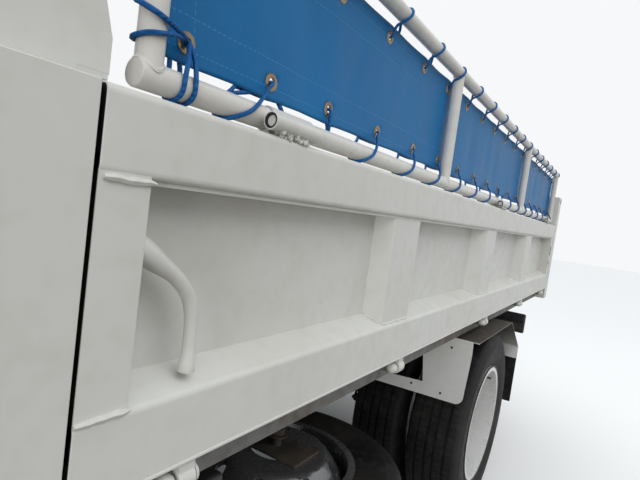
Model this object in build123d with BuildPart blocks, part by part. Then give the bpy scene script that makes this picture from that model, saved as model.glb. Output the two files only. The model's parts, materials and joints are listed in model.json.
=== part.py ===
# A narrow-cab tipping truck: ladder chassis, tilting cab, twin rear wheels and a steel
# dump bed with drop sides, a top-hung tailgate and folding sheet frames on its sides.
# X points forward, Y to the truck's left and Z up. The origin is on the ground, midway
# between the front bumper and the tailgate. Every size is in millimetres.

import os
from math import atan2, cos, hypot, radians, sin

from build123d import *

os.makedirs("parts", exist_ok=True)

# Lengths along the truck, from the bumper's face back: the cab, a gap, the bed's front
# pillar, the side gates, the rear pillar and the tailgate.
BUMPER_PROUD = 25
CAB_LENGTH = 1530.5
CAB_GAP = 70
PILLAR_W = 110
GATE_LENGTH = 3060
PILLAR_GAP = 8
CORNER_W = 95
TAIL_PROUD = 36.5
BED_LENGTH = PILLAR_W + GATE_LENGTH + PILLAR_GAP + CORNER_W + TAIL_PROUD
TRUCK_LENGTH = BUMPER_PROUD + CAB_LENGTH + CAB_GAP + BED_LENGTH
FRONT_X = TRUCK_LENGTH / 2
REAR_X = -FRONT_X
CAB_FRONT_X = FRONT_X - BUMPER_PROUD
CAB_REAR_X = CAB_FRONT_X - CAB_LENGTH
HEAD_FRONT_X = CAB_REAR_X - CAB_GAP
SEAM_X = HEAD_FRONT_X - PILLAR_W
GATE_REAR_X = SEAM_X - GATE_LENGTH
CORNER_FRONT_X = GATE_REAR_X - PILLAR_GAP
CORNER_REAR_X = CORNER_FRONT_X - CORNER_W
WHEELBASE = 2500
FRONT_OVERHANG = 1055
FRONT_AXLE_X = FRONT_X - FRONT_OVERHANG
REAR_AXLE_X = FRONT_AXLE_X - WHEELBASE
FIT = 0.05
SEAT_GAP = 0.3
SWING_GAP = 6

# Wheels and tyres
TYRE_R = 376
TYRE_W = 205
TREAD_W = 160
BULGE_R = 308
BEAD_R = 226
BEAD_W = 171
FLANGE_R = 236
FLANGE_W = 8
RIM_WALL = 12
DISC_OFFSET = 115
DISC_WALL = 9
DISC_FACE_R = 140
HUB_BORE_R = 75
HUB_FLANGE_R = 130
FRONT_DRUM_R = 165
REAR_DRUM_R = 175
HAND_HOLES = 8
HAND_HOLE_R = 21
HAND_HOLE_PITCH_R = 178
TWIN_MID_Y = 636
TWIN_SPACING = 2 * DISC_OFFSET
FRONT_TRACK = 1395
FRONT_WHEEL_Y = FRONT_TRACK / 2

# Chassis rails
RAIL_OUT_Y = 350
RAIL_FLANGE = 60
RAIL_WALL = 6
RAIL_BOTTOM = 520
RAIL_H = 180
RAIL_TOP = RAIL_BOTTOM + RAIL_H
RAIL_FRONT_X = FRONT_X - 150
RAIL_REAR_X = REAR_X + 317.5

# Axles and springs
AXLE_TUBE_R = 50
DIFF_R = 130
SPINDLE_R = 30
SPRING_Y = 320
SPRING_W = 60
SPRING_LEAF = 10
SPRING_LEAVES = 5
SPRING_SPAN = 1150
SPRING_RISE_REAR = 16
SPRING_RISE_FRONT = 60
HANGER_L = 30
KINGPIN_Y = 575
KINGPIN_R = 15
STEER_ARM = 150
TRACK_ROD_R = 12
TRACK_ROD_EYE_R = 20

# Dump bed
GATE_Y = 850
GATE_BOTTOM = 856
GATE_H = 390
GATE_TOP = GATE_BOTTOM + GATE_H
GATE_WALL = 60
TOP_RAIL_H = 79
LOW_RAIL_H = 85
LEDGE_RISE = 22
RECESS = 46
RIB_INSET = 7
POST_W = 61
EDGE_R = 10
LEVER_R = 10
SEAM_GAP = 5
FLOOR_TOP = 850
FLOOR_WALL = 6
CROSS_H = 54
CROSS_BOTTOM = FLOOR_TOP - FLOOR_WALL - CROSS_H
HEADBOARD_TOP = 1600
HEADBOARD_SLOPE = 0.3
HEADBOARD_WALL = 5
CORNER_TOP = 1421
TAILGATE_WALL = 45

# Hinges of the bed
BED_HINGE_X = REAR_X + 387.5
BED_HINGE_Z = RAIL_TOP + 36
BED_PIN_R = 20
BED_EYE_R = 30
GATE_PIN_Y = GATE_Y - 12
GATE_PIN_Z = GATE_BOTTOM - 24
GATE_PIN_R = 8
GATE_EYE_R = 13
GATE_HINGES = (-154, -785, -1580, -2280, 100 - GATE_LENGTH)
TAIL_HINGE_X = REAR_X + 50
TAIL_HINGE_Z = CORNER_TOP - 22
TAIL_PIN_R = 12
TAIL_BOSS_R = 22
TAIL_PIN_Y = GATE_Y - GATE_WALL - 40

# Sheet frames on the side gates
PIPE_R = 17
UPRIGHT_R = 16.5
PIPE_Y = GATE_Y - 35
PIPE_LOW_Z = GATE_BOTTOM + 413
PIPE_TOP_Z = GATE_BOTTOM + 693
PIPE_FRONT_X = SEAM_X - 45
PIPE_REAR_X = GATE_REAR_X + 4
UPRIGHTS = (-68, -985, -2045, 45 - GATE_LENGTH)
SLEEVES = (-252, -1544, 360 - GATE_LENGTH)
SLEEVE_LENGTH = 95
SLEEVE_PIN_R = 11
SHEET_T = 3
SHEET_X = (PIPE_REAR_X + 12, SEAM_X - 88)
SHEET_Z = (GATE_BOTTOM + 435, PIPE_TOP_Z - PIPE_R - 4)

# Hoist
HOIST_FOOT_X = BED_HINGE_X + 680
HOIST_FOOT_Z = 620
HOIST_HEAD_X = BED_HINGE_X + 1880
HOIST_HEAD_Z = 745
HOIST_R = 60
HOIST_ROD_R = 26
HOIST_EYE_R = 36
HOIST_PIN_R = 18
HOIST_EYE_W = 56
HOIST_BARREL_END = 190

# Cab
CAB_W = 1695
CAB_TOP = 1985
CAB_BELT = 1280
CAB_SILL = 830
CAB_FLOOR = 860
CAB_LOW = 640
CAB_WALL = 36
CAB_TUMBLE = 70
CAB_EDGE_R = 30
BELT_R = 900
CAB_HINGE_X = CAB_FRONT_X - 57.5
CAB_HINGE_Z = 660
CAB_PIN_R = 14
CAB_STUB_R = 15
SCREEN_TOP_X = CAB_FRONT_X - 382.5
SCREEN_TOP_Z = CAB_TOP - 50
SCREEN_FOOT_Z = CAB_BELT - 90
DOOR_REAR_X = CAB_REAR_X + 208
DOOR_FRONT_X = CAB_FRONT_X - 362.5
DOOR_WALL = 45
DOOR_GAP = 7
DOOR_FRAME = 70
DOOR_HINGE_X = DOOR_FRONT_X - 3
DOOR_HINGE_OUT = 10
DOOR_HINGES = (940, 1190)
KNUCKLE_H = 25
KNUCKLE_R = 8
DOOR_PIN_R = 4
LEAF = 40
GLASS = 5
REAR_GLASS_Y = 560
REAR_GLASS_Z = (CAB_BELT + 90, CAB_TOP - 170)

# Cross-members: place along the truck, length, bottom and top above the ground
RAIL_INNER_Y = RAIL_OUT_Y - RAIL_WALL
CROSS_LOW = RAIL_BOTTOM + RAIL_WALL
CROSS_HIGH = RAIL_TOP - RAIL_WALL
SHAFT_ROOM = 30
CROSS_MEMBERS = (
    (RAIL_REAR_X + 45, 60, CROSS_LOW, CROSS_HIGH),
    (HOIST_FOOT_X - 180, 60, CROSS_LOW, CROSS_HIGH),
    (HOIST_FOOT_X, 110, CROSS_LOW, CROSS_LOW + 30),
    (HOIST_FOOT_X + 840, 70, CROSS_LOW, CROSS_LOW + 34),
    (HOIST_FOOT_X + 1340, 70, CROSS_LOW, CROSS_LOW + 60),
    (SEAM_X - 92, 60, CROSS_LOW + SHAFT_ROOM, CROSS_HIGH),
    (RAIL_FRONT_X - 40, 60, CROSS_LOW, CROSS_HIGH),
)
HOIST_EAR_W = 16
HOIST_EAR_R = 40
EAR_GAP = 1
HOIST_EAR_Y = HOIST_EYE_W / 2 + EAR_GAP
LAMP = ((RAIL_REAR_X + 12, RAIL_REAR_X + 54), (560, 800), (586, 700))
UNDERRUN = ((RAIL_REAR_X + 10, RAIL_REAR_X + 70), (-560, 560), (RAIL_BOTTOM - 90, RAIL_BOTTOM))

# Axle ends, front beam and spring seats
REAR_TUBE_Y = 470
NOSE_X = REAR_AXLE_X + 210
BEAM_W = 60
BEAM_Z = TYRE_R - 60
BEAM_END = 28
PIN_REACH = 70
LUG_H = 36
REAR_SEAT_Z = TYRE_R + AXLE_TUBE_R
FRONT_SEAT_Z = BEAM_Z + 30

# Engine, propeller shaft, fuel tank and battery box
ENGINE = ((FRONT_AXLE_X - 352.5, FRONT_AXLE_X + 287.5), (-250, 250), (430, 790))
BEARER = (FRONT_AXLE_X - 112.5, FRONT_AXLE_X - 52.5)
GEARBOX_REAR_X = FRONT_AXLE_X - 712.5
GEARBOX_Z = 500
SHAFT_FLANGE = 12
TANK = ((SEAM_X - 612, SEAM_X - 92), (RAIL_OUT_Y, 730), (RAIL_BOTTOM - 120, RAIL_TOP - 20))
BATTERY = ((SEAM_X - 402, SEAM_X - 92), (RAIL_OUT_Y, 700), (RAIL_BOTTOM - 40, RAIL_TOP - 20))

# Spare wheel: it lies in the room between the rear tyre and the battery box, and the
# share of that room is what is left behind it
SPARE_SHARE = 0.5786
SPARE_ROOM = BATTERY[0][0] - (REAR_AXLE_X + TYRE_R) - 2 * TYRE_R
SPARE_X = REAR_AXLE_X + 2 * TYRE_R + round(SPARE_SHARE * SPARE_ROOM, 1)
SPARE_Y = 464
SPARE_DISC_Z = 456
SPARE_MID_Z = SPARE_DISC_Z - DISC_OFFSET

# Mudguards and flaps
GUARD_IN_Y = 462
GUARD_OUT_Y = GATE_Y + 20
GUARD_FRONT_X = REAR_AXLE_X + 389.5
GUARD_REAR_X = REAR_AXLE_X - 430.5
GUARD_TOP = CROSS_BOTTOM - 8
GUARD_LOW = GATE_BOTTOM - 345
GUARD_WALL = 3
GUARD_PLATE = [
    (GUARD_IN_Y, GUARD_TOP), (GATE_Y, GUARD_TOP), (GATE_Y + 2, GUARD_TOP - 44),
    (GATE_Y - 8, GUARD_LOW + 44), (GATE_Y - 40, GUARD_LOW + 44), (GUARD_IN_Y, GUARD_LOW + 36),
]
GUARD_CUT = [
    (GUARD_IN_Y + 38, GUARD_TOP - 58), (GATE_Y - 172, GUARD_TOP - 54), (GATE_Y - 155, GUARD_LOW + 88),
    (GUARD_IN_Y + 38, GUARD_LOW + 76),
]
FLAP_LOW = GATE_BOTTOM - 500
GUARD_STAY_X = (GUARD_FRONT_X - 30, REAR_AXLE_X, GUARD_REAR_X + 290)

# Brackets on the rails
EYE_Y = (RAIL_OUT_Y - 48, RAIL_OUT_Y - 18)
EAR_W = 14
EAR_R = 34
EARS = ((EYE_Y[0] - EAR_W - EAR_GAP, EYE_Y[0] - EAR_GAP), (EYE_Y[1] + EAR_GAP, EYE_Y[1] + EAR_GAP + EAR_W))
TOW_EYE_R = 18
TOW_EYE_X = FRONT_X - 190
TOW_EYE_Z = RAIL_BOTTOM - 70
CAB_EYE_Y = (RAIL_OUT_Y + 12, RAIL_OUT_Y + 42)

# Slope of the hoist, and its length between the pins
HOIST_TILT = atan2(HOIST_HEAD_Z - HOIST_FOOT_Z, HOIST_HEAD_X - HOIST_FOOT_X)
HOIST_LENGTH = hypot(HOIST_HEAD_Z - HOIST_FOOT_Z, HOIST_HEAD_X - HOIST_FOOT_X)

# Bumper and steering
BUMPER_LOW = 360
BUMPER_HIGH = 590
BUMPER_WALL = 12
FRONT_HUB_Y = FRONT_WHEEL_Y + DISC_OFFSET
LUGS = (TYRE_R - PIN_REACH, TYRE_R + PIN_REACH - LUG_H)
LUG_R = 34
STUB_AXLE_R = 22
BALL_R = 9
ARM_Y = KINGPIN_Y
ROD_Z = TYRE_R - 110

# Floor and underframe of the bed
FLOOR_FRONT_X = SEAM_X + PILLAR_W - 40
FLOOR_REAR_X = REAR_X + 60
FLOOR_HALF = GATE_Y - GATE_WALL - 4
SIDE_RAIL_Y = GATE_Y - GATE_WALL + 8
SILL_FRONT_X = SEAM_X - 30
BED_PITCH = 390
BED_CROSS = [SEAM_X - 312 - BED_PITCH * n for n in range(6)]
BED_CROSS += [FLOOR_FRONT_X - 30, BED_HINGE_X + 220, BED_HINGE_X, REAR_X + 90]
EYE_W = 24
ARM_W = 14
CROSS_Z = (CROSS_BOTTOM, CROSS_BOTTOM + CROSS_H)
BAR_HALF = 25
HEAD_BAR_HALF = 50
BED_RAIL_W = 30
BAR_Y = SIDE_RAIL_Y - BED_RAIL_W
SILL_Y = (RAIL_OUT_Y - 55, RAIL_OUT_Y - 5)
HEAD_EAR_Y = HOIST_EYE_W / 2 + 2

# Headboard, whose wings lean forward above the gates
LEAN_Z = GATE_TOP + 43
LEAN = HEADBOARD_SLOPE * (HEADBOARD_TOP - LEAN_Z)
WING_REAR_X = SEAM_X - 25
WING_Y = (GATE_Y - GATE_WALL, GATE_Y - 30)

# Tailgate
TAIL_OUT_X = REAR_X
TAIL_IN_X = REAR_X + TAILGATE_WALL
TAIL_SIDE_Y = GATE_Y - GATE_WALL - SWING_GAP

# Side gates: each rib has the front edge of its face behind the seam, the face's width,
# and how far its front and rear flanks spread. The lever's path is measured likewise.
RIBS = ((-656, 139, 16, 18), (-1414, 139, 52, 40), (-2181, 143, 52, 40))
RIB_MARGIN = 20
LEVER_PATH = ((-60, 248), (-86, 236), (-118, 196), (-130, 158), (-128, 104))
IN_Y = GATE_Y - GATE_WALL
PANEL_Y = GATE_Y - RECESS
FACE_Y = GATE_Y - RIB_INSET

# Outlines of the cab and its openings
ARCH_REAR_X = FRONT_AXLE_X - 430
ARCH_FRONT_X = FRONT_AXLE_X + 430
ARCH_TOP = CAB_SILL - 20
REAR_LOW = CAB_LOW + 90
CAB_SIDE = [
    (CAB_REAR_X, REAR_LOW), (CAB_REAR_X, CAB_BELT), (CAB_REAR_X + 25, CAB_TOP - 60),
    (CAB_REAR_X + 80, CAB_TOP), (SCREEN_TOP_X - 70, CAB_TOP), (SCREEN_TOP_X, SCREEN_TOP_Z),
    (CAB_FRONT_X, SCREEN_FOOT_Z), (CAB_FRONT_X, CAB_LOW), (ARCH_FRONT_X, CAB_LOW),
    (ARCH_FRONT_X - 60, ARCH_TOP), (ARCH_REAR_X + 60, ARCH_TOP), (ARCH_REAR_X, REAR_LOW),
]
CAB_ROUNDS = [
    (60, CAB_SIDE[2:5]), (120, [CAB_SIDE[5]]), (160, [CAB_SIDE[6]]), (38, CAB_SIDE[7:9]),
    (150, [CAB_SIDE[9]]), (110, [CAB_SIDE[10]]),
]
CAB_HALF = CAB_W / 2
ROOF_HALF = CAB_HALF - CAB_TUMBLE
VIEW_TOP = CAB_TOP + 10
CAB_FRONT_VIEW = [
    (-CAB_HALF, CAB_LOW - 10), (-CAB_HALF, CAB_BELT), (-ROOF_HALF, VIEW_TOP), (ROOF_HALF, VIEW_TOP),
    (CAB_HALF, CAB_BELT), (CAB_HALF, CAB_LOW - 10),
]
SCREEN_SLOPE = (CAB_FRONT_X - SCREEN_TOP_X) / (SCREEN_TOP_Z - SCREEN_FOOT_Z)
ROOM_FOOT_X = CAB_FRONT_X - CAB_WALL
HEADER_Z = CAB_TOP - 110
GLASS_DEPTH = 12
SCREEN_HALF = CAB_HALF - 110
DOOR_OUTLINE = [
    (DOOR_REAR_X + DOOR_GAP, CAB_SILL + 10 + DOOR_GAP), (DOOR_REAR_X + DOOR_GAP, HEADER_Z - DOOR_GAP),
    (SCREEN_TOP_X - 114 - DOOR_GAP, HEADER_Z - DOOR_GAP), (DOOR_FRONT_X - DOOR_GAP, CAB_BELT + 60),
    (DOOR_FRONT_X - DOOR_GAP, CAB_SILL + 10 + DOOR_GAP),
]
WINDOW = [
    (DOOR_REAR_X + DOOR_FRAME, CAB_BELT + 20), (DOOR_REAR_X + DOOR_FRAME, CAB_TOP - 175),
    (SCREEN_TOP_X - 165, CAB_TOP - 175), (DOOR_FRONT_X - DOOR_FRAME, CAB_BELT + 70),
    (DOOR_FRONT_X - DOOR_FRAME, CAB_BELT + 20),
]
SIDE_VIEW = [
    (CAB_HALF - DOOR_WALL, CAB_SILL), (CAB_HALF, CAB_SILL), (CAB_HALF, CAB_BELT),
    (ROOF_HALF, VIEW_TOP), (ROOF_HALF - DOOR_WALL, VIEW_TOP), (CAB_HALF - DOOR_WALL, CAB_BELT),
]

# Seats and dashboard
SEAT_REAR_X = CAB_REAR_X + 60
SEAT_HALF_W = 700
SEAT_TOP = CAB_FLOOR + 300
WHEEL_CENTRE = (CAB_FRONT_X - 612.5, -380, CAB_BELT + 50)
COLUMN = Vector(-0.62, 0, 0.78)
COLUMN_LENGTH = 420
STEERING_R = 195

# Lamps, grille and mirrors
LAMP_LOW = 690
LAMP_HIGH = 850
LAMP_IN_Y = CAB_HALF - 300
GRILLE_Y = LAMP_IN_Y - 12
GRILLE_DEPTH = 12
SLAT_PITCH = 32
MIRROR_X = CAB_FRONT_X - 257.5
MIRROR_FOOT_X = CAB_FRONT_X - 187.5
MIRROR_Y = (CAB_HALF + 60, CAB_HALF + 220)
MIRROR_Z = (CAB_BELT + 50, CAB_BELT + 380)

SIDES = (("left", 1), ("right", -1))


def save(builder, name):
    """Name a finished piece and write its file."""
    builder.part.label = name
    export_step(builder.part, f"parts/{name}.step")


def flip(sign):
    """Turn the left-hand piece in hand into the right-hand one."""
    if sign < 0:
        mirror(about=Plane.XZ, mode=Mode.REPLACE)


def block(x, y, z, mode=Mode.ADD):
    """A box between two values on each axis."""
    with Locations(((x[0] + x[1]) / 2, (y[0] + y[1]) / 2, (z[0] + z[1]) / 2)):
        Box(abs(x[1] - x[0]), abs(y[1] - y[0]), abs(z[1] - z[0]), mode=mode)


def rod(start, end, radius, bore=0, mode=Mode.ADD):
    """A round bar or tube between two points."""
    line = Vector(*end) - Vector(*start)
    with BuildSketch(Plane(origin=start, z_dir=line)) as disc:
        Circle(radius)
        if bore:
            Circle(bore, mode=Mode.SUBTRACT)
    extrude(disc.sketch, amount=line.length, mode=mode)


def round_off(face, rounds):
    """Round an outline's corners; rounds holds a radius with the corner points that take it."""
    for radius, corners in rounds:
        for a, b in corners:
            corner = min(face.vertices(), key=lambda v: hypot(v.X - a, v.Y - b))
            fillet(corner, radius=radius)


def plate(outline, y, mode=Mode.ADD, rounds=()):
    """A flat piece with its outline in X and Z, between two Y values."""
    with BuildSketch(Plane.XZ.offset(-y[0])) as face:
        with BuildLine():
            Polyline(*outline, close=True)
        make_face()
        round_off(face, rounds)
    extrude(face.sketch, amount=-(y[1] - y[0]), mode=mode)


def section(outline, x, mode=Mode.ADD, rounds=()):
    """A bar with its outline in Y and Z, between two X values."""
    with BuildSketch(Plane.YZ.offset(x[0])) as face:
        with BuildLine():
            Polyline(*outline, close=True)
        make_face()
        round_off(face, rounds)
    extrude(face.sketch, amount=x[1] - x[0], mode=mode)


def turned(outline, axle_x, mode=Mode.ADD):
    """A round piece turned about an axle, from (Y, radius) points."""
    centre = (axle_x, 0, TYRE_R)
    with BuildSketch(Plane(origin=centre, x_dir=(0, 1, 0), z_dir=(1, 0, 0))) as face:
        with BuildLine():
            Polyline(*outline, close=True)
        make_face()
    revolve(face.sketch, axis=Axis(centre, (0, 1, 0)), mode=mode)


def tyre_at(axle_x, mid_y):
    """One tyre: a flat tread, two sidewalls and the beads."""
    half = [(BEAD_W / 2 - 3, BEAD_R + SEAT_GAP), (TYRE_W / 2, BULGE_R), (TREAD_W / 2, TYRE_R)]
    left = [(mid_y + y, r) for y, r in half]
    right = [(mid_y - y, r) for y, r in reversed(half)]
    turned(left + right, axle_x)


def wheel_at(axle_x, mid_y, side):
    """One steel wheel, its dished disc bulging towards side, with round hand holes."""
    edge = BEAD_W / 2 + FLANGE_W
    seat = BEAD_W / 2
    inner_r = BEAD_R - RIM_WALL
    rim = [(-edge, inner_r), (-edge, FLANGE_R), (-seat, FLANGE_R), (-seat, BEAD_R)]
    rim = rim + [(-y, r) for y, r in reversed(rim)]
    turned([(mid_y + y, r) for y, r in rim], axle_x)
    face = DISC_OFFSET
    back = DISC_OFFSET - DISC_WALL
    disc = [
        (16, inner_r + 2), (30, inner_r + 2), (face - 10, DISC_FACE_R + 18), (face, DISC_FACE_R),
        (face, HUB_BORE_R), (back, HUB_BORE_R), (back, DISC_FACE_R - 4), (back - 9, DISC_FACE_R + 11),
    ]
    turned([(mid_y + side * y, r) for y, r in disc], axle_x)
    for n in range(HAND_HOLES):
        angle = radians(360 * (n + 0.5) / HAND_HOLES)
        x = axle_x + HAND_HOLE_PITCH_R * cos(angle)
        z = TYRE_R + HAND_HOLE_PITCH_R * sin(angle)
        rod((x, mid_y + side * 20, z), (x, mid_y + side * face, z), HAND_HOLE_R, mode=Mode.SUBTRACT)


# Chassis rails: two folded channels that open inwards.
with BuildPart() as frame_rails:
    for name, sign in SIDES:
        web = sorted((sign * RAIL_OUT_Y, sign * (RAIL_OUT_Y - RAIL_WALL)))
        lip = sorted((sign * RAIL_OUT_Y, sign * (RAIL_OUT_Y - RAIL_FLANGE)))
        block((RAIL_REAR_X, RAIL_FRONT_X), web, (RAIL_BOTTOM, RAIL_TOP))
        block((RAIL_REAR_X, RAIL_FRONT_X), lip, (RAIL_BOTTOM, RAIL_BOTTOM + RAIL_WALL))
        block((RAIL_REAR_X, RAIL_FRONT_X), lip, (RAIL_TOP - RAIL_WALL, RAIL_TOP))
save(frame_rails, "frame_rails")

# Cross-members: one carries the hoist's foot, and a rear bar hangs below the rails with
# the stays of the lamps.
with BuildPart() as cross_members:
    for x, length, low, high in CROSS_MEMBERS:
        block((x - length / 2, x + length / 2), (-RAIL_INNER_Y, RAIL_INNER_Y), (low, high))
    for name, sign in SIDES:
        y = sorted((sign * HOIST_EAR_Y, sign * (HOIST_EAR_Y + HOIST_EAR_W)))
        block((HOIST_FOOT_X - HOIST_EAR_R, HOIST_FOOT_X + HOIST_EAR_R), y, (CROSS_LOW + 30, HOIST_FOOT_Z))
        rod((HOIST_FOOT_X, y[0], HOIST_FOOT_Z), (HOIST_FOOT_X, y[1], HOIST_FOOT_Z), HOIST_EAR_R)
        stay = sorted((sign * RAIL_OUT_Y, sign * LAMP[1][1]))
        block((LAMP[0][1], LAMP[0][1] + 16), stay, (LAMP[2][0] + 20, LAMP[2][0] + 60))
    reach = HOIST_EAR_Y + HOIST_EAR_W
    rod((HOIST_FOOT_X, -reach, HOIST_FOOT_Z), (HOIST_FOOT_X, reach, HOIST_FOOT_Z), HOIST_PIN_R)
    block(*UNDERRUN)
save(cross_members, "cross_members")

# Rear axle: a straight tube with a round middle casing and a spindle at each end.
with BuildPart() as rear_axle:
    centre = (REAR_AXLE_X, 0, TYRE_R)
    rod((REAR_AXLE_X, -REAR_TUBE_Y, TYRE_R), (REAR_AXLE_X, REAR_TUBE_Y, TYRE_R), AXLE_TUBE_R)
    spindle_y = TWIN_MID_Y - 20
    rod((REAR_AXLE_X, -spindle_y, TYRE_R), (REAR_AXLE_X, spindle_y, TYRE_R), SPINDLE_R)
    turned([(-70, 0), (-95, 90), (-60, DIFF_R), (60, DIFF_R), (95, 90), (70, 0)], REAR_AXLE_X)
    rod((REAR_AXLE_X + 60, 0, TYRE_R), (NOSE_X, 0, TYRE_R), 60)
save(rear_axle, "rear_axle")

# Front axle: a dropped beam that ends in a boss for each king pin.
with BuildPart() as front_axle:
    beam = [
        (-KINGPIN_Y, TYRE_R - BEAM_END), (50 - KINGPIN_Y, TYRE_R - BEAM_END),
        (-440, BEAM_Z - 30), (440, BEAM_Z - 30),
        (KINGPIN_Y - 50, TYRE_R - BEAM_END), (KINGPIN_Y, TYRE_R - BEAM_END), (KINGPIN_Y, TYRE_R + BEAM_END),
        (KINGPIN_Y - 60, TYRE_R + BEAM_END), (420, BEAM_Z + 30), (-420, BEAM_Z + 30),
        (60 - KINGPIN_Y, TYRE_R + BEAM_END), (-KINGPIN_Y, TYRE_R + BEAM_END),
    ]
    section(beam, (FRONT_AXLE_X - BEAM_W / 2, FRONT_AXLE_X + BEAM_W / 2))
    for name, sign in SIDES:
        y = sign * KINGPIN_Y
        rod((FRONT_AXLE_X, y, TYRE_R - BEAM_END), (FRONT_AXLE_X, y, TYRE_R + BEAM_END), BEAM_W / 2)
        rod((FRONT_AXLE_X, y, TYRE_R - PIN_REACH), (FRONT_AXLE_X, y, TYRE_R + PIN_REACH), KINGPIN_R)
save(front_axle, "front_axle")


def leaf_spring(axle_x, seat_z, rise, sign):
    """A stack of leaves that get shorter downwards, on one side, with its two hangers."""
    y = sorted((sign * (SPRING_Y - SPRING_W / 2), sign * (SPRING_Y + SPRING_W / 2)))
    half = SPRING_SPAN / 2
    for leaf in range(SPRING_LEAVES):
        share = 1 - 0.16 * leaf
        low = seat_z + SPRING_LEAF * (SPRING_LEAVES - 1 - leaf)
        outline = [
            (axle_x - half * share, low + rise * share), (axle_x, low),
            (axle_x + half * share, low + rise * share),
            (axle_x + half * share, low + rise * share + SPRING_LEAF), (axle_x, low + SPRING_LEAF),
            (axle_x - half * share, low + rise * share + SPRING_LEAF),
        ]
        plate(outline, y)
    end_z = seat_z + SPRING_LEAF * (SPRING_LEAVES - 1) + rise
    for end in (-1, 1):
        x = sorted((axle_x + end * half, axle_x + end * (half + HANGER_L)))
        block(x, y, (end_z - 8, RAIL_BOTTOM))


# Leaf springs lie on the axle seats and hang from the rails.
with BuildPart() as leaf_springs:
    for name, sign in SIDES:
        leaf_spring(REAR_AXLE_X, REAR_SEAT_Z, SPRING_RISE_REAR, sign)
        leaf_spring(FRONT_AXLE_X, FRONT_SEAT_Z, SPRING_RISE_FRONT, sign)
save(leaf_springs, "leaf_springs")

# Engine and gearbox as plain blocks on a bearer between the rails, and the propeller
# shaft with a flange at each end.
with BuildPart() as engine:
    block(*ENGINE)
    block((GEARBOX_REAR_X, ENGINE[0][0]), (-140, 140), (440, 690))
    block(BEARER, (-RAIL_INNER_Y, RAIL_INNER_Y), (RAIL_BOTTOM + 20, RAIL_BOTTOM + 50))
save(engine, "engine")
with BuildPart() as drive_shaft:
    rod((GEARBOX_REAR_X - SHAFT_FLANGE / 2, 0, GEARBOX_Z), (NOSE_X + SHAFT_FLANGE / 2, 0, TYRE_R), 38)
    rod((GEARBOX_REAR_X - SHAFT_FLANGE, 0, GEARBOX_Z), (GEARBOX_REAR_X, 0, GEARBOX_Z), 55)
    rod((NOSE_X, 0, TYRE_R), (NOSE_X + SHAFT_FLANGE, 0, TYRE_R), 55)
save(drive_shaft, "drive_shaft")

# Fuel tank on the right and battery box on the left, hung from the rails.
with BuildPart() as fuel_tank:
    block(TANK[0], (-TANK[1][1], -TANK[1][0]), TANK[2])
    fillet(fuel_tank.edges().filter_by(Axis.X), radius=40)
save(fuel_tank, "fuel_tank")
with BuildPart() as battery_box:
    block(*BATTERY)
save(battery_box, "battery_box")

# Spare wheel: carried flat under the left rail, its dished side up, on a cross bar.


def spare(outline):
    """A round piece turned about the spare wheel's upright axis, from (height, radius) points."""
    with BuildSketch(Plane(origin=(SPARE_X, SPARE_Y, 0), x_dir=(1, 0, 0), z_dir=(0, -1, 0))) as face:
        with BuildLine():
            Polyline(*[(r, z) for z, r in outline], close=True)
        make_face()
    revolve(face.sketch, axis=Axis((SPARE_X, SPARE_Y, 0), (0, 0, 1)))


with BuildPart() as spare_tyre:
    half = [(BEAD_W / 2 - 3, BEAD_R + SEAT_GAP), (TYRE_W / 2, BULGE_R), (TREAD_W / 2, TYRE_R)]
    upper = [(SPARE_MID_Z + z, r) for z, r in half]
    lower = [(SPARE_MID_Z - z, r) for z, r in reversed(half)]
    spare(upper + lower)
save(spare_tyre, "spare_tyre")
with BuildPart() as spare_wheel:
    edge = BEAD_W / 2 + FLANGE_W
    seat = BEAD_W / 2
    inner_r = BEAD_R - RIM_WALL
    rim = [(-edge, inner_r), (-edge, FLANGE_R), (-seat, FLANGE_R), (-seat, BEAD_R)]
    rim = rim + [(-z, r) for z, r in reversed(rim)]
    spare([(SPARE_MID_Z + z, r) for z, r in rim])
    back = DISC_OFFSET - DISC_WALL
    disc = [
        (16, inner_r + 2), (30, inner_r + 2), (DISC_OFFSET - 10, DISC_FACE_R + 18),
        (DISC_OFFSET, DISC_FACE_R), (DISC_OFFSET, HUB_BORE_R), (back, HUB_BORE_R),
        (back, DISC_FACE_R - 4), (back - 9, DISC_FACE_R + 11),
    ]
    spare([(SPARE_MID_Z + z, r) for z, r in disc])
    for n in range(HAND_HOLES):
        angle = radians(360 * (n + 0.5) / HAND_HOLES)
        x = SPARE_X + HAND_HOLE_PITCH_R * cos(angle)
        y = SPARE_Y + HAND_HOLE_PITCH_R * sin(angle)
        rod((x, y, SPARE_MID_Z + 20), (x, y, SPARE_DISC_Z), HAND_HOLE_R, mode=Mode.SUBTRACT)
save(spare_wheel, "spare_wheel")
with BuildPart() as spare_carrier:
    block((SPARE_X - 60, SPARE_X + 60), (RAIL_OUT_Y - 120, SPARE_Y + 110), (SPARE_DISC_Z, SPARE_DISC_Z + 8))
    block((SPARE_X - 60, SPARE_X + 60), (RAIL_OUT_Y - 60, RAIL_OUT_Y - 10), (SPARE_DISC_Z, RAIL_BOTTOM))
    rod((SPARE_X, SPARE_Y, SPARE_DISC_Z - 20), (SPARE_X, SPARE_Y, SPARE_DISC_Z + 40), 14)
save(spare_carrier, "spare_carrier")

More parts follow.
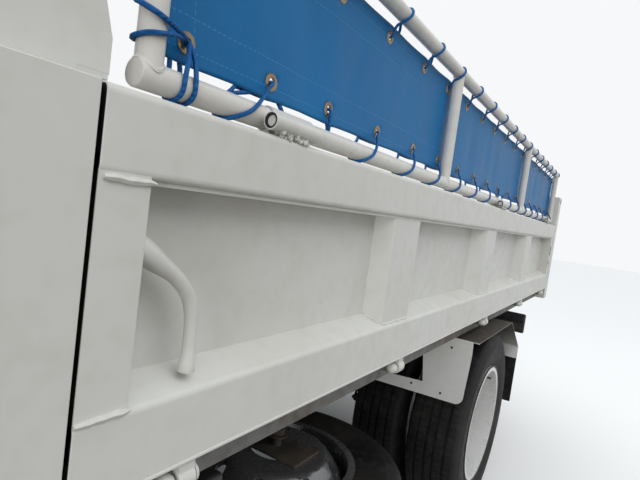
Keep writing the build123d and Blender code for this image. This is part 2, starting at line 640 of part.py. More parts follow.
# Mudguards over the twin wheels: a folded sheet for the top and sloped rear, and a front
# plate with rounded outer corners and a cut-out that shows the tyres.
with BuildPart() as mudguards:
    outer = [
        (GUARD_FRONT_X, GUARD_TOP), (GUARD_REAR_X + 260, GUARD_TOP), (GUARD_REAR_X, GUARD_TOP - 150),
        (GUARD_REAR_X, GUARD_LOW + 60),
    ]
    inner = [
        (GUARD_REAR_X + GUARD_WALL, GUARD_LOW + 60), (GUARD_REAR_X + GUARD_WALL, GUARD_TOP - 152),
        (GUARD_REAR_X + 261, GUARD_TOP - GUARD_WALL), (GUARD_FRONT_X, GUARD_TOP - GUARD_WALL),
    ]
    across = (GUARD_FRONT_X - GUARD_WALL, GUARD_FRONT_X)
    for name, sign in SIDES:
        plate(outer + inner, sorted((sign * GUARD_IN_Y, sign * GUARD_OUT_Y)))
        front = [(sign * y, z) for y, z in GUARD_PLATE]
        section(front, across, rounds=[(30, [front[3]])])
        section([(sign * y, z) for y, z in GUARD_CUT], (across[0] - 1, across[1] + 1), Mode.SUBTRACT)
        for x in GUARD_STAY_X:
            stay = sorted((sign * RAIL_OUT_Y, sign * (GUARD_IN_Y + 40)))
            post = sorted((sign * RAIL_OUT_Y, sign * (RAIL_OUT_Y + 25)))
            block((x - 15, x + 15), stay, (GUARD_TOP - GUARD_WALL - 12, GUARD_TOP - GUARD_WALL))
            block((x - 15, x + 15), post, (RAIL_TOP - 80, GUARD_TOP - GUARD_WALL))
save(mudguards, "mudguards")
with BuildPart() as mud_flaps:
    for name, sign in SIDES:
        y = sorted((sign * GUARD_IN_Y, sign * GUARD_OUT_Y))
        block((GUARD_REAR_X - 6, GUARD_REAR_X), y, (FLAP_LOW, GUARD_LOW + 120))
save(mud_flaps, "mud_flaps")

# Tail lamps on the outer ends of their stays.
with BuildPart() as tail_lamps:
    for name, sign in SIDES:
        block(LAMP[0], sorted((sign * LAMP[1][0], sign * LAMP[1][1])), LAMP[2])
save(tail_lamps, "tail_lamps")

# Brackets on the rails: ears and pins for the bed hinge, stubs and pins for the cab's
# tilt hinge, and a tow eye at the front.
with BuildPart() as frame_brackets:
    for name, sign in SIDES:
        for low, high in EARS:
            y = sorted((sign * low, sign * high))
            block((BED_HINGE_X - 50, BED_HINGE_X + 50), y, (RAIL_TOP, BED_HINGE_Z))
            rod((BED_HINGE_X, y[0], BED_HINGE_Z), (BED_HINGE_X, y[1], BED_HINGE_Z), EAR_R)
        y = sorted((sign * EARS[0][0], sign * EARS[1][1]))
        rod((BED_HINGE_X, y[0], BED_HINGE_Z), (BED_HINGE_X, y[1], BED_HINGE_Z), BED_PIN_R)
    for name, sign in SIDES:
        y = sorted((sign * RAIL_OUT_Y, sign * (CAB_EYE_Y[0] - 1)))
        block((RAIL_FRONT_X - 110, RAIL_FRONT_X), y, (RAIL_BOTTOM + 20, RAIL_TOP - 10))
        block((RAIL_FRONT_X - 10, CAB_HINGE_X), y, (CAB_HINGE_Z - CAB_STUB_R, CAB_HINGE_Z + CAB_STUB_R))
        rod((CAB_HINGE_X, y[0], CAB_HINGE_Z), (CAB_HINGE_X, y[1], CAB_HINGE_Z), CAB_STUB_R)
        y = sorted((sign * RAIL_OUT_Y, sign * CAB_EYE_Y[1]))
        rod((CAB_HINGE_X, y[0], CAB_HINGE_Z), (CAB_HINGE_X, y[1], CAB_HINGE_Z), CAB_PIN_R)
    eye = (TOW_EYE_X, RAIL_OUT_Y - 50, TOW_EYE_Z), (TOW_EYE_X, RAIL_OUT_Y - 20, TOW_EYE_Z)
    rod(*eye, 38)
    block((TOW_EYE_X - 38, TOW_EYE_X + 38), (eye[0][1], eye[1][1]), (TOW_EYE_Z, RAIL_BOTTOM))
    rod(*eye, TOW_EYE_R, mode=Mode.SUBTRACT)
save(frame_brackets, "frame_brackets")

# Hoist: the barrel on its foot's pin, and the rod up to ears under the bed.


def on_hoist(distance):
    """A point on the hoist's axis, this far from its foot."""
    return (HOIST_FOOT_X + distance * cos(HOIST_TILT), 0, HOIST_FOOT_Z + distance * sin(HOIST_TILT))


with BuildPart() as hoist_barrel:
    start = on_hoist(HOIST_EYE_R + 16)
    end = on_hoist(HOIST_LENGTH - HOIST_BARREL_END)
    rod(start, end, HOIST_R)
    eye = HOIST_EYE_W / 2
    rod(on_hoist(0), on_hoist(HOIST_EYE_R + 20), HOIST_EYE_W / 2)
    rod((HOIST_FOOT_X, -eye, HOIST_FOOT_Z), (HOIST_FOOT_X, eye, HOIST_FOOT_Z), HOIST_EYE_R)
    pin = (HOIST_FOOT_X, -eye, HOIST_FOOT_Z), (HOIST_FOOT_X, eye, HOIST_FOOT_Z)
    rod(*pin, HOIST_PIN_R + FIT, mode=Mode.SUBTRACT)
    rod(on_hoist(HOIST_R + 80), end, HOIST_ROD_R + FIT, mode=Mode.SUBTRACT)
save(hoist_barrel, "hoist_barrel")
with BuildPart() as hoist_rod:
    rod(on_hoist(HOIST_R + 100), on_hoist(HOIST_LENGTH), HOIST_ROD_R)
    eye = HOIST_EYE_W / 2
    rod((HOIST_HEAD_X, -eye, HOIST_HEAD_Z), (HOIST_HEAD_X, eye, HOIST_HEAD_Z), HOIST_EYE_R)
    pin = (HOIST_HEAD_X, -eye - 1, HOIST_HEAD_Z), (HOIST_HEAD_X, eye + 1, HOIST_HEAD_Z)
    rod(*pin, HOIST_PIN_R + FIT, mode=Mode.SUBTRACT)
save(hoist_rod, "hoist_rod")

# Front bumper: a folded steel channel on two brackets, with an air slot and rounded ends.
with BuildPart() as front_bumper:
    block((FRONT_X - 90, FRONT_X), (-CAB_W / 2, CAB_W / 2), (BUMPER_LOW, BUMPER_HIGH))
    fillet(front_bumper.edges().filter_by(Axis.Z).group_by(Axis.X)[-1], radius=60)
    fillet(front_bumper.edges().group_by(Axis.Z)[-1].group_by(Axis.X)[-1], radius=20)
    hollow = (FRONT_X - 150, FRONT_X - BUMPER_WALL), (-CAB_W / 2 + 30, CAB_W / 2 - 30)
    block(*hollow, (BUMPER_LOW - 20, BUMPER_HIGH - 15), Mode.SUBTRACT)
    block((FRONT_X - 20, FRONT_X + 5), (-330, 330), (BUMPER_LOW + 60, BUMPER_LOW + 110), Mode.SUBTRACT)
    for name, sign in SIDES:
        y = sorted((sign * RAIL_OUT_Y, sign * (RAIL_OUT_Y - 40)))
        block((RAIL_FRONT_X, FRONT_X - 10), y, (RAIL_BOTTOM, BUMPER_HIGH - 15))
save(front_bumper, "front_bumper")

# Steering: a knuckle on each king pin, with an arm to the track rod behind the axle.
for side, sign in SIDES:
    with BuildPart() as knuckle:
        for low in LUGS:
            rod((FRONT_AXLE_X, KINGPIN_Y, low), (FRONT_AXLE_X, KINGPIN_Y, low + LUG_H), LUG_R)
        across = (FRONT_AXLE_X - 30, FRONT_AXLE_X + 30)
        block(across, (KINGPIN_Y + LUG_R, KINGPIN_Y + 60), (TYRE_R - 70, TYRE_R + PIN_REACH))
        for low in LUGS:
            block(across, (KINGPIN_Y, KINGPIN_Y + 40), (low, low + LUG_H))
        rod((FRONT_AXLE_X, KINGPIN_Y + 40, TYRE_R), (FRONT_AXLE_X, FRONT_HUB_Y - 30, TYRE_R), STUB_AXLE_R)
        foot = (FRONT_AXLE_X - 10, KINGPIN_Y, TYRE_R - 58)
        elbow = (FRONT_AXLE_X - STEER_ARM, ARM_Y, TYRE_R - 72)
        rod(foot, elbow, 15)
        rod((elbow[0], elbow[1], TYRE_R - 90), (elbow[0], elbow[1], TYRE_R - 58), 20)
        rod((elbow[0], elbow[1], ROD_Z - 20), (elbow[0], elbow[1], TYRE_R - 80), BALL_R)
        for low in (TYRE_R - 80, TYRE_R + 24):
            ends = (FRONT_AXLE_X, KINGPIN_Y, low), (FRONT_AXLE_X, KINGPIN_Y, low + 56)
            rod(*ends, KINGPIN_R + FIT, mode=Mode.SUBTRACT)
        flip(sign)
    save(knuckle, f"knuckle_{side}")
with BuildPart() as track_rod:
    x = FRONT_AXLE_X - STEER_ARM
    rod((x, -ARM_Y, ROD_Z), (x, ARM_Y, ROD_Z), TRACK_ROD_R)
    for name, sign in SIDES:
        rod((x, sign * ARM_Y, ROD_Z - 16), (x, sign * ARM_Y, ROD_Z + 16), TRACK_ROD_EYE_R)
        rod((x, sign * ARM_Y, ROD_Z - 20), (x, sign * ARM_Y, ROD_Z + 20), BALL_R + FIT, mode=Mode.SUBTRACT)
save(track_rod, "track_rod")

# Front wheels: a tyre, and a dished wheel on its hub and brake drum.
for side, sign in SIDES:
    with BuildPart() as front_tyre:
        tyre_at(FRONT_AXLE_X, FRONT_WHEEL_Y)
        flip(sign)
    save(front_tyre, f"front_tyre_{side}")
    with BuildPart() as front_wheel:
        wheel_at(FRONT_AXLE_X, FRONT_WHEEL_Y, 1)
        face = FRONT_WHEEL_Y + DISC_OFFSET - DISC_WALL
        hub = [
            (KINGPIN_Y + 66, STUB_AXLE_R + FIT), (KINGPIN_Y + 66, FRONT_DRUM_R),
            (face - 40, FRONT_DRUM_R), (face - 40, HUB_FLANGE_R), (face, HUB_FLANGE_R),
            (face, HUB_BORE_R - 2), (face + 70, HUB_BORE_R - 8), (face + 70, 0),
            (FRONT_HUB_Y - 28, 0), (FRONT_HUB_Y - 28, STUB_AXLE_R + FIT),
        ]
        turned(hub, FRONT_AXLE_X)
        flip(sign)
    save(front_wheel, f"front_wheel_{side}")

# Rear wheels: twin tyres, and two wheels bolted back to back on one hub and drum.
for side, sign in SIDES:
    with BuildPart() as rear_tyres:
        for shift in (-1, 1):
            tyre_at(REAR_AXLE_X, TWIN_MID_Y + shift * TWIN_SPACING / 2)
        flip(sign)
    save(rear_tyres, f"rear_tyres_{side}")
    with BuildPart() as rear_wheels:
        wheel_at(REAR_AXLE_X, TWIN_MID_Y + TWIN_SPACING / 2, -1)
        wheel_at(REAR_AXLE_X, TWIN_MID_Y - TWIN_SPACING / 2, 1)
        face = TWIN_MID_Y - DISC_WALL
        hub = [
            (REAR_TUBE_Y + 8, SPINDLE_R + FIT), (REAR_TUBE_Y + 8, REAR_DRUM_R),
            (face - 20, REAR_DRUM_R), (face - 20, HUB_FLANGE_R), (face, HUB_FLANGE_R),
            (face, HUB_BORE_R - 2), (face + 110, HUB_BORE_R - 10), (face + 110, 0),
            (TWIN_MID_Y - 16, 0), (TWIN_MID_Y - 16, SPINDLE_R + FIT),
        ]
        turned(hub, REAR_AXLE_X)
        flip(sign)
    save(rear_wheels, f"rear_wheels_{side}")

# Bed floor on its cross-members, which carry the eyes of the bed's hinge and the ears for
# the hoist, and between them the side rails with the gates' pins and two sills.
with BuildPart() as bed_floor:
    block((FLOOR_REAR_X, FLOOR_FRONT_X), (-FLOOR_HALF, FLOOR_HALF), (FLOOR_TOP - FLOOR_WALL, FLOOR_TOP))
save(bed_floor, "bed_floor")
with BuildPart() as bed_cross_members:
    for x in BED_CROSS:
        block((x - BAR_HALF, x + BAR_HALF), (-BAR_Y, BAR_Y), CROSS_Z)
    block((HOIST_HEAD_X - HEAD_BAR_HALF, HOIST_HEAD_X + HEAD_BAR_HALF), (-BAR_Y, BAR_Y), CROSS_Z)
    for name, sign in SIDES:
        y = sorted((sign * EYE_Y[0], sign * EYE_Y[1]))
        ends = (BED_HINGE_X, y[0], BED_HINGE_Z), (BED_HINGE_X, y[1], BED_HINGE_Z)
        block((BED_HINGE_X - BAR_HALF, BED_HINGE_X + BAR_HALF), y, (BED_HINGE_Z, CROSS_BOTTOM))
        rod(*ends, BED_EYE_R)
        rod(*ends, BED_PIN_R + FIT, mode=Mode.SUBTRACT)
        ear = [
            (HOIST_HEAD_X - HOIST_EAR_R, CROSS_BOTTOM), (HOIST_HEAD_X - HOIST_EAR_R, HOIST_HEAD_Z - 20),
            (HOIST_HEAD_X - 20, HOIST_HEAD_Z - HOIST_EAR_R), (HOIST_HEAD_X + 20, HOIST_HEAD_Z - HOIST_EAR_R),
            (HOIST_HEAD_X + HOIST_EAR_R, HOIST_HEAD_Z - 20), (HOIST_HEAD_X + HOIST_EAR_R, CROSS_BOTTOM),
        ]
        plate(ear, sorted((sign * HEAD_EAR_Y, sign * (HEAD_EAR_Y + HOIST_EAR_W))))
        boss = (HEAD_EAR_Y, HEAD_EAR_Y + 10 + HOIST_EAR_W)
        rod(*[(HOIST_HEAD_X, sign * y, HOIST_HEAD_Z) for y in boss], HOIST_PIN_R)
save(bed_cross_members, "bed_cross_members")
with BuildPart() as bed_underframe:
    for name, sign in SIDES:
        rail = sorted((sign * BAR_Y, sign * SIDE_RAIL_Y))
        block((FLOOR_REAR_X, FLOOR_FRONT_X), rail, CROSS_Z)
        sill = sorted((sign * SILL_Y[0], sign * SILL_Y[1]))
        block((BED_HINGE_X + 130, SILL_FRONT_X), sill, (RAIL_TOP, CROSS_BOTTOM))
        for place in GATE_HINGES:
            arm_x = (SEAM_X + place + EYE_W / 2 + 1, SEAM_X + place + EYE_W / 2 + 1 + ARM_W)
            y = sorted((sign * SIDE_RAIL_Y, sign * GATE_PIN_Y))
            block(arm_x, y, (GATE_PIN_Z - 11, GATE_PIN_Z + 11))
            start = (SEAM_X + place - EYE_W / 2 - 6, sign * GATE_PIN_Y, GATE_PIN_Z)
            rod(start, (arm_x[1], sign * GATE_PIN_Y, GATE_PIN_Z), GATE_PIN_R)
save(bed_underframe, "bed_underframe")

# Headboard: a sheet between two front pillars. Its side wings narrow above the gates,
# their rear edges leaning forward.
with BuildPart() as headboard:
    sheet = (HEAD_FRONT_X - HEADBOARD_WALL, HEAD_FRONT_X)
    block(sheet, (-GATE_Y + GATE_WALL, GATE_Y - GATE_WALL), (FLOOR_TOP, HEADBOARD_TOP))
    block((HEAD_FRONT_X - 50, HEAD_FRONT_X), (-WING_Y[0], WING_Y[0]), (HEADBOARD_TOP - 40, HEADBOARD_TOP))
    for name, sign in SIDES:
        wing = [
            (WING_REAR_X, GATE_TOP + 10), (WING_REAR_X, LEAN_Z), (WING_REAR_X + LEAN, HEADBOARD_TOP),
            (HEAD_FRONT_X, HEADBOARD_TOP), (HEAD_FRONT_X, GATE_TOP - 5), (SEAM_X + 5, GATE_TOP - 5),
            (SEAM_X + 5, GATE_TOP + 10),
        ]
        plate(wing, sorted((sign * WING_Y[0], sign * WING_Y[1])))
        pillar = sorted((sign * (GATE_Y - GATE_WALL), sign * GATE_Y))
        foot = sorted((sign * SIDE_RAIL_Y, sign * GATE_Y))
        block((SEAM_X, HEAD_FRONT_X), pillar, (FLOOR_TOP, GATE_TOP))
        block((SEAM_X, HEAD_FRONT_X), foot, (CROSS_BOTTOM, FLOOR_TOP))
save(headboard, "headboard")

# Rear corner pillars with a boss for the tailgate's pin.
with BuildPart() as rear_pillars:
    for name, sign in SIDES:
        y = sorted((sign * (GATE_Y - GATE_WALL), sign * GATE_Y))
        foot = sorted((sign * SIDE_RAIL_Y, sign * GATE_Y))
        block((CORNER_REAR_X, CORNER_FRONT_X), y, (FLOOR_TOP, CORNER_TOP))
        block((CORNER_REAR_X, CORNER_FRONT_X), foot, (CROSS_BOTTOM, FLOOR_TOP))
        pin, inner, outer = [
            (TAIL_HINGE_X, sign * y, TAIL_HINGE_Z) for y in (TAIL_PIN_Y, GATE_Y - GATE_WALL, GATE_Y - 10)
        ]
        rod(inner, outer, TAIL_BOSS_R)
        rod(pin, inner, TAIL_PIN_R)
save(rear_pillars, "rear_pillars")

# Tailgate: a ribbed panel that hangs from two arms at the pillars' tops.
with BuildPart() as tailgate:
    block((TAIL_IN_X - 15, TAIL_IN_X), (-TAIL_SIDE_Y, TAIL_SIDE_Y), (GATE_BOTTOM, GATE_TOP))
    block((TAIL_OUT_X, TAIL_IN_X), (-TAIL_SIDE_Y, TAIL_SIDE_Y), (GATE_TOP - TOP_RAIL_H, GATE_TOP))
    block((TAIL_OUT_X, TAIL_IN_X), (-TAIL_SIDE_Y, TAIL_SIDE_Y), (GATE_BOTTOM, GATE_BOTTOM + LOW_RAIL_H))
    for y in (-TAIL_SIDE_Y + 40, -260, 260, TAIL_SIDE_Y - 40):
        block((TAIL_OUT_X, TAIL_IN_X), (y - 40, y + 40), (GATE_BOTTOM, GATE_TOP))
    for name, sign in SIDES:
        y = sorted((sign * TAIL_SIDE_Y, sign * (TAIL_SIDE_Y - 22)))
        arm = [
            (TAIL_OUT_X, GATE_TOP - 60), (TAIL_HINGE_X - 24, TAIL_HINGE_Z),
            (TAIL_HINGE_X - 14, TAIL_HINGE_Z + 20), (TAIL_HINGE_X + 14, TAIL_HINGE_Z + 20),
            (TAIL_HINGE_X + 24, TAIL_HINGE_Z), (TAIL_IN_X, GATE_TOP - 60),
        ]
        plate(arm, y)
        ends = (TAIL_HINGE_X, y[0], TAIL_HINGE_Z), (TAIL_HINGE_X, y[1], TAIL_HINGE_Z)
        rod(*ends, TAIL_PIN_R + FIT, mode=Mode.SUBTRACT)
save(tailgate, "tailgate")

# Side gates: box rails top and bottom, end posts, hat ribs over a recessed panel, with
# eyes below for the hinge pins, sleeves on top for the sheet frame and a latch lever.
for side, sign in SIDES:
    with BuildPart() as side_gate:
        front = SEAM_X - SEAM_GAP
        block((GATE_REAR_X, front), (IN_Y, PANEL_Y), (GATE_BOTTOM, GATE_TOP))
        block((GATE_REAR_X, front), (IN_Y, GATE_Y), (GATE_TOP - TOP_RAIL_H, GATE_TOP))
        low_rail = [
            (IN_Y, GATE_BOTTOM), (GATE_Y, GATE_BOTTOM), (GATE_Y, GATE_BOTTOM + LOW_RAIL_H),
            (PANEL_Y, GATE_BOTTOM + LOW_RAIL_H + LEDGE_RISE), (IN_Y, GATE_BOTTOM + LOW_RAIL_H + LEDGE_RISE),
        ]
        section(low_rail, (GATE_REAR_X, front))
        fillet(side_gate.edges().filter_by(Axis.X).group_by(Axis.Z)[-1], radius=EDGE_R)
        for start, end in ((front, SEAM_X - POST_W), (GATE_REAR_X + POST_W, GATE_REAR_X)):
            block((end, start), (IN_Y, GATE_Y), (GATE_BOTTOM + RIB_MARGIN, GATE_TOP - RIB_MARGIN))
        for place, width, spread_front, spread_rear in RIBS:
            x = SEAM_X + place
            with BuildSketch(Plane.XY.offset(GATE_BOTTOM + RIB_MARGIN)) as rib:
                with BuildLine():
                    Polyline(
                        (x + spread_front, PANEL_Y), (x, FACE_Y), (x - width, FACE_Y),
                        (x - width - spread_rear, PANEL_Y), close=True,
                    )
                make_face()
            extrude(rib.sketch, amount=GATE_H - 2 * RIB_MARGIN)
        for place in GATE_HINGES:
            x = SEAM_X + place
            neck = (GATE_PIN_Y - GATE_EYE_R, GATE_PIN_Y + GATE_EYE_R - 2)
            block((x - EYE_W / 2, x + EYE_W / 2), neck, (GATE_PIN_Z, GATE_BOTTOM))
            ends = (x - EYE_W / 2, GATE_PIN_Y, GATE_PIN_Z), (x + EYE_W / 2, GATE_PIN_Y, GATE_PIN_Z)
            rod(*ends, GATE_EYE_R)
            rod(*ends, GATE_PIN_R + FIT, mode=Mode.SUBTRACT)
        for place in SLEEVES:
            x = SEAM_X + place
            ends = (x - SLEEVE_LENGTH, PIPE_Y, PIPE_LOW_Z), (x, PIPE_Y, PIPE_LOW_Z)
            rod(*ends, PIPE_R)
            block((x - SLEEVE_LENGTH, x), (PIPE_Y - 8, PIPE_Y + 8), (GATE_TOP - 5, PIPE_LOW_Z))
            rod(*ends, SLEEVE_PIN_R + FIT, mode=Mode.SUBTRACT)
        points = [(SEAM_X + x, GATE_Y - 16, GATE_BOTTOM + z) for x, z in LEVER_PATH]
        for start, end in zip(points, points[1:]):
            rod(start, end, LEVER_R)
            with Locations(end):
                Sphere(LEVER_R)
        flip(sign)
    save(side_gate, f"side_gate_{side}")

# Sheet frames: pipes at the bottom and top with four uprights, broken at each sleeve,
# where a pin runs through it. The sheet hangs on the inner side of the uprights.
for side, sign in SIDES:
    with BuildPart() as sheet_frame:
        low = [PIPE_FRONT_X]
        for place in SLEEVES:
            low += [SEAM_X + place + SWING_GAP, SEAM_X + place - SLEEVE_LENGTH - SWING_GAP]
        low += [PIPE_REAR_X]
        for start, end in zip(low[0::2], low[1::2]):
            rod((start, PIPE_Y, PIPE_LOW_Z), (end, PIPE_Y, PIPE_LOW_Z), PIPE_R)
        for start, end in zip(low[1::2], low[2::2]):
            rod((start + 2, PIPE_Y, PIPE_LOW_Z), (end - 2, PIPE_Y, PIPE_LOW_Z), SLEEVE_PIN_R)
        rod((PIPE_FRONT_X, PIPE_Y, PIPE_TOP_Z), (PIPE_REAR_X, PIPE_Y, PIPE_TOP_Z), PIPE_R)
        for place in UPRIGHTS:
            x = SEAM_X + place
            rod((x, PIPE_Y, PIPE_LOW_Z), (x, PIPE_Y, PIPE_TOP_Z), UPRIGHT_R)
        flip(sign)
    save(sheet_frame, f"sheet_frame_{side}")
    with BuildPart() as side_sheet:
        outer_y = PIPE_Y - UPRIGHT_R - SEAT_GAP
        y = (outer_y - SHEET_T, outer_y)
        block(SHEET_X, y, SHEET_Z)
        flip(sign)
    save(side_sheet, f"side_sheet_{side}")

# Cab body. Its side outline runs round the back, roof, windscreen, front and wheel arch,
# and its front view leans in above the belt line.


def screen_x(z):
    """Where the windscreen's plane stands at a height."""
    return SCREEN_TOP_X + (SCREEN_TOP_Z - z) * SCREEN_SLOPE


def outer_edge(edge):
    """Whether an edge of the cab's block lies on its front corners or along its roof."""
    place = edge.center()
    if abs(place.Y) < ROOF_HALF - 2:
        return False
    on_front = place.X > ARCH_FRONT_X and place.Z > CAB_LOW + 20 and abs(edge.tangent_at(0.5).X) < 0.999
    on_roof = place.Z > CAB_TOP - 75 and place.X > CAB_REAR_X + 120
    return on_front or on_roof


with BuildPart() as cab_body:
    plate(CAB_SIDE, (-CAB_HALF, CAB_HALF), rounds=CAB_ROUNDS)
    belt = [(BELT_R, [CAB_FRONT_VIEW[1], CAB_FRONT_VIEW[4]])]
    section(CAB_FRONT_VIEW, (CAB_REAR_X - 5, CAB_FRONT_X + 5), Mode.INTERSECT, belt)
    fillet([edge for edge in cab_body.edges() if outer_edge(edge)], radius=CAB_EDGE_R)
    room = [
        (CAB_REAR_X + CAB_WALL, CAB_FLOOR), (CAB_REAR_X + CAB_WALL, CAB_BELT),
        (CAB_REAR_X + 25 + CAB_WALL, CAB_TOP - 60 - CAB_WALL), (CAB_REAR_X + 100, CAB_TOP - CAB_WALL),
        (SCREEN_TOP_X - 85, CAB_TOP - CAB_WALL), (SCREEN_TOP_X - 40, CAB_TOP - 60 - CAB_WALL),
        (screen_x(CAB_BELT - 20) - 50, CAB_BELT - 20), (ROOM_FOOT_X, CAB_BELT - 100),
        (ROOM_FOOT_X, CAB_FLOOR),
    ]
    plate(room, (-CAB_HALF + CAB_WALL + 40, CAB_HALF - CAB_WALL - 40), Mode.SUBTRACT)
    nose_room = [
        (ARCH_FRONT_X + 30, CAB_LOW - 5), (ARCH_FRONT_X - 30, CAB_FLOOR - 30),
        (ROOM_FOOT_X, CAB_FLOOR - 30), (ROOM_FOOT_X, CAB_LOW - 5),
    ]
    plate(nose_room, (-CAB_HALF + CAB_WALL, CAB_HALF - CAB_WALL), Mode.SUBTRACT)
    block((ARCH_FRONT_X - 90, ROOM_FOOT_X), (-420, 420), (CAB_LOW - 10, CAB_SILL - 30), Mode.SUBTRACT)
    door_hole = [
        (DOOR_REAR_X, CAB_SILL + 10), (DOOR_REAR_X, HEADER_Z), (SCREEN_TOP_X - 110, HEADER_Z),
        (DOOR_FRONT_X, CAB_BELT + 60), (DOOR_FRONT_X, CAB_SILL + 10),
    ]
    plate(door_hole, (-CAB_HALF - 5, CAB_HALF + 5), Mode.SUBTRACT)
    screen_hole = [
        (SCREEN_TOP_X - 200, HEADER_Z), (SCREEN_TOP_X + 200, HEADER_Z),
        (SCREEN_TOP_X + 540, CAB_BELT + 30), (SCREEN_TOP_X + 140, CAB_BELT + 30),
    ]
    plate(screen_hole, (-SCREEN_HALF, SCREEN_HALF), Mode.SUBTRACT)
    block((CAB_REAR_X - 10, CAB_REAR_X + 90), (-REAR_GLASS_Y, REAR_GLASS_Y), REAR_GLASS_Z, Mode.SUBTRACT)
    for name, sign in SIDES:
        y = sorted((sign * CAB_EYE_Y[0], sign * CAB_EYE_Y[1]))
        ends = (CAB_HINGE_X, y[0], CAB_HINGE_Z), (CAB_HINGE_X, y[1], CAB_HINGE_Z)
        block((CAB_HINGE_X - 30, CAB_HINGE_X + 30), y, (CAB_HINGE_Z, CAB_FLOOR - 20))
        rod(*ends, 30)
        rod(*ends, CAB_PIN_R + FIT, mode=Mode.SUBTRACT)
    for low in DOOR_HINGES:
        for name, sign in SIDES:
            y = sign * (CAB_HALF + DOOR_HINGE_OUT)
            leaf = sorted((sign * CAB_HALF, sign * (CAB_HALF + DOOR_HINGE_OUT - 3)))
            block((DOOR_HINGE_X, DOOR_HINGE_X + LEAF), leaf, (low, low + KNUCKLE_H))
            rod((DOOR_HINGE_X, y, low), (DOOR_HINGE_X, y, low + KNUCKLE_H), KNUCKLE_R)
            rod((DOOR_HINGE_X, y, low), (DOOR_HINGE_X, y, low + 2 * KNUCKLE_H), DOOR_PIN_R)
save(cab_body, "cab_body")

# Windscreen and rear window.
with BuildPart() as cab_windows:
    low_z = CAB_BELT + 30
    top_x = screen_x(HEADER_Z) - GLASS_DEPTH
    low_x = screen_x(low_z) - GLASS_DEPTH
    screen = [(top_x, HEADER_Z), (low_x, low_z), (low_x - GLASS, low_z), (top_x - GLASS, HEADER_Z)]
    plate(screen, (-SCREEN_HALF, SCREEN_HALF))
    block((CAB_REAR_X + 20, CAB_REAR_X + 20 + GLASS), (-REAR_GLASS_Y, REAR_GLASS_Y), REAR_GLASS_Z)
save(cab_windows, "cab_windows")

# Doors: as thick as the cab's side, the window cut out and its glass set in.
for side, sign in SIDES:
    with BuildPart() as door:
        plate(DOOR_OUTLINE, (CAB_HALF - 300, CAB_HALF + 20))
        section(SIDE_VIEW, (DOOR_REAR_X, DOOR_FRONT_X), Mode.INTERSECT, [(BELT_R, [SIDE_VIEW[2]])])
        plate(WINDOW, (CAB_HALF - 300, CAB_HALF + 20), Mode.SUBTRACT)
        for low in DOOR_HINGES:
            y = CAB_HALF + DOOR_HINGE_OUT
            high = low + 2 * KNUCKLE_H
            bottom = low + KNUCKLE_H + 1
            block((DOOR_HINGE_X - LEAF, DOOR_HINGE_X), (CAB_HALF, y - 3), (bottom, high))
            rod((DOOR_HINGE_X, y, bottom), (DOOR_HINGE_X, y, high), KNUCKLE_R)
            rod((DOOR_HINGE_X, y, low), (DOOR_HINGE_X, y, high + 1), DOOR_PIN_R + FIT, mode=Mode.SUBTRACT)
        flip(sign)
    save(door, f"door_{side}")
    with BuildPart() as door_glass:
        plate(WINDOW, (CAB_HALF - 300, CAB_HALF + 20))
        glass = [
            (CAB_HALF - 20 - GLASS, CAB_BELT), (CAB_HALF - 20, CAB_BELT),
            (ROOF_HALF - 20, VIEW_TOP), (ROOF_HALF - 20 - GLASS, VIEW_TOP),
        ]
        section(glass, (DOOR_REAR_X, DOOR_FRONT_X), Mode.INTERSECT)
        flip(sign)
    save(door_glass, f"door_glass_{side}")

# Seats, dashboard and steering wheel.
with BuildPart() as seats:
    block((SEAT_REAR_X, SEAT_REAR_X + 560), (-SEAT_HALF_W, SEAT_HALF_W), (CAB_FLOOR, SEAT_TOP))
    block((SEAT_REAR_X, SEAT_REAR_X + 120), (-SEAT_HALF_W, SEAT_HALF_W), (SEAT_TOP, SEAT_TOP + 560))
save(seats, "seats")
with BuildPart() as dashboard:
    shelf = (-CAB_HALF + 80, CAB_HALF - 80), (CAB_FLOOR + 130, CAB_BELT - 110)
    block((ROOM_FOOT_X - 330, ROOM_FOOT_X), *shelf)
    plane = Plane(origin=WHEEL_CENTRE, z_dir=COLUMN)
    with BuildSketch(plane) as hub_disc:
        Circle(45)
    extrude(hub_disc.sketch, amount=-40)
    with Locations(plane):
        Torus(STEERING_R, 14)
    for turn in (90, 210, 330):
        tip = plane.location * Location((STEERING_R * cos(radians(turn)), STEERING_R * sin(radians(turn)), 0))
        rod(WHEEL_CENTRE, tuple(tip.position), 10)
    foot = Vector(*WHEEL_CENTRE) - COLUMN * COLUMN_LENGTH
    rod(tuple(foot), WHEEL_CENTRE, 22)
save(dashboard, "dashboard")

# Headlamps with a slatted grille between them on the cab's nose.
with BuildPart() as headlamps:
    for name, sign in SIDES:
        y = sorted((sign * LAMP_IN_Y, sign * (CAB_HALF - 50)))
        block((CAB_FRONT_X, CAB_FRONT_X + 18), y, (LAMP_LOW, LAMP_HIGH))
    fillet(headlamps.edges().filter_by(Axis.X), radius=24)
save(headlamps, "headlamps")
with BuildPart() as grille:
    block((CAB_FRONT_X, CAB_FRONT_X + GRILLE_DEPTH), (-GRILLE_Y, GRILLE_Y), (LAMP_LOW, LAMP_HIGH))
    for number in range(4):
        low = LAMP_LOW + 22 + SLAT_PITCH * number
        slot_x = (CAB_FRONT_X + 4, CAB_FRONT_X + GRILLE_DEPTH + 8)
        block(slot_x, (-GRILLE_Y + 20, GRILLE_Y - 20), (low, low + 16), Mode.SUBTRACT)
save(grille, "grille")

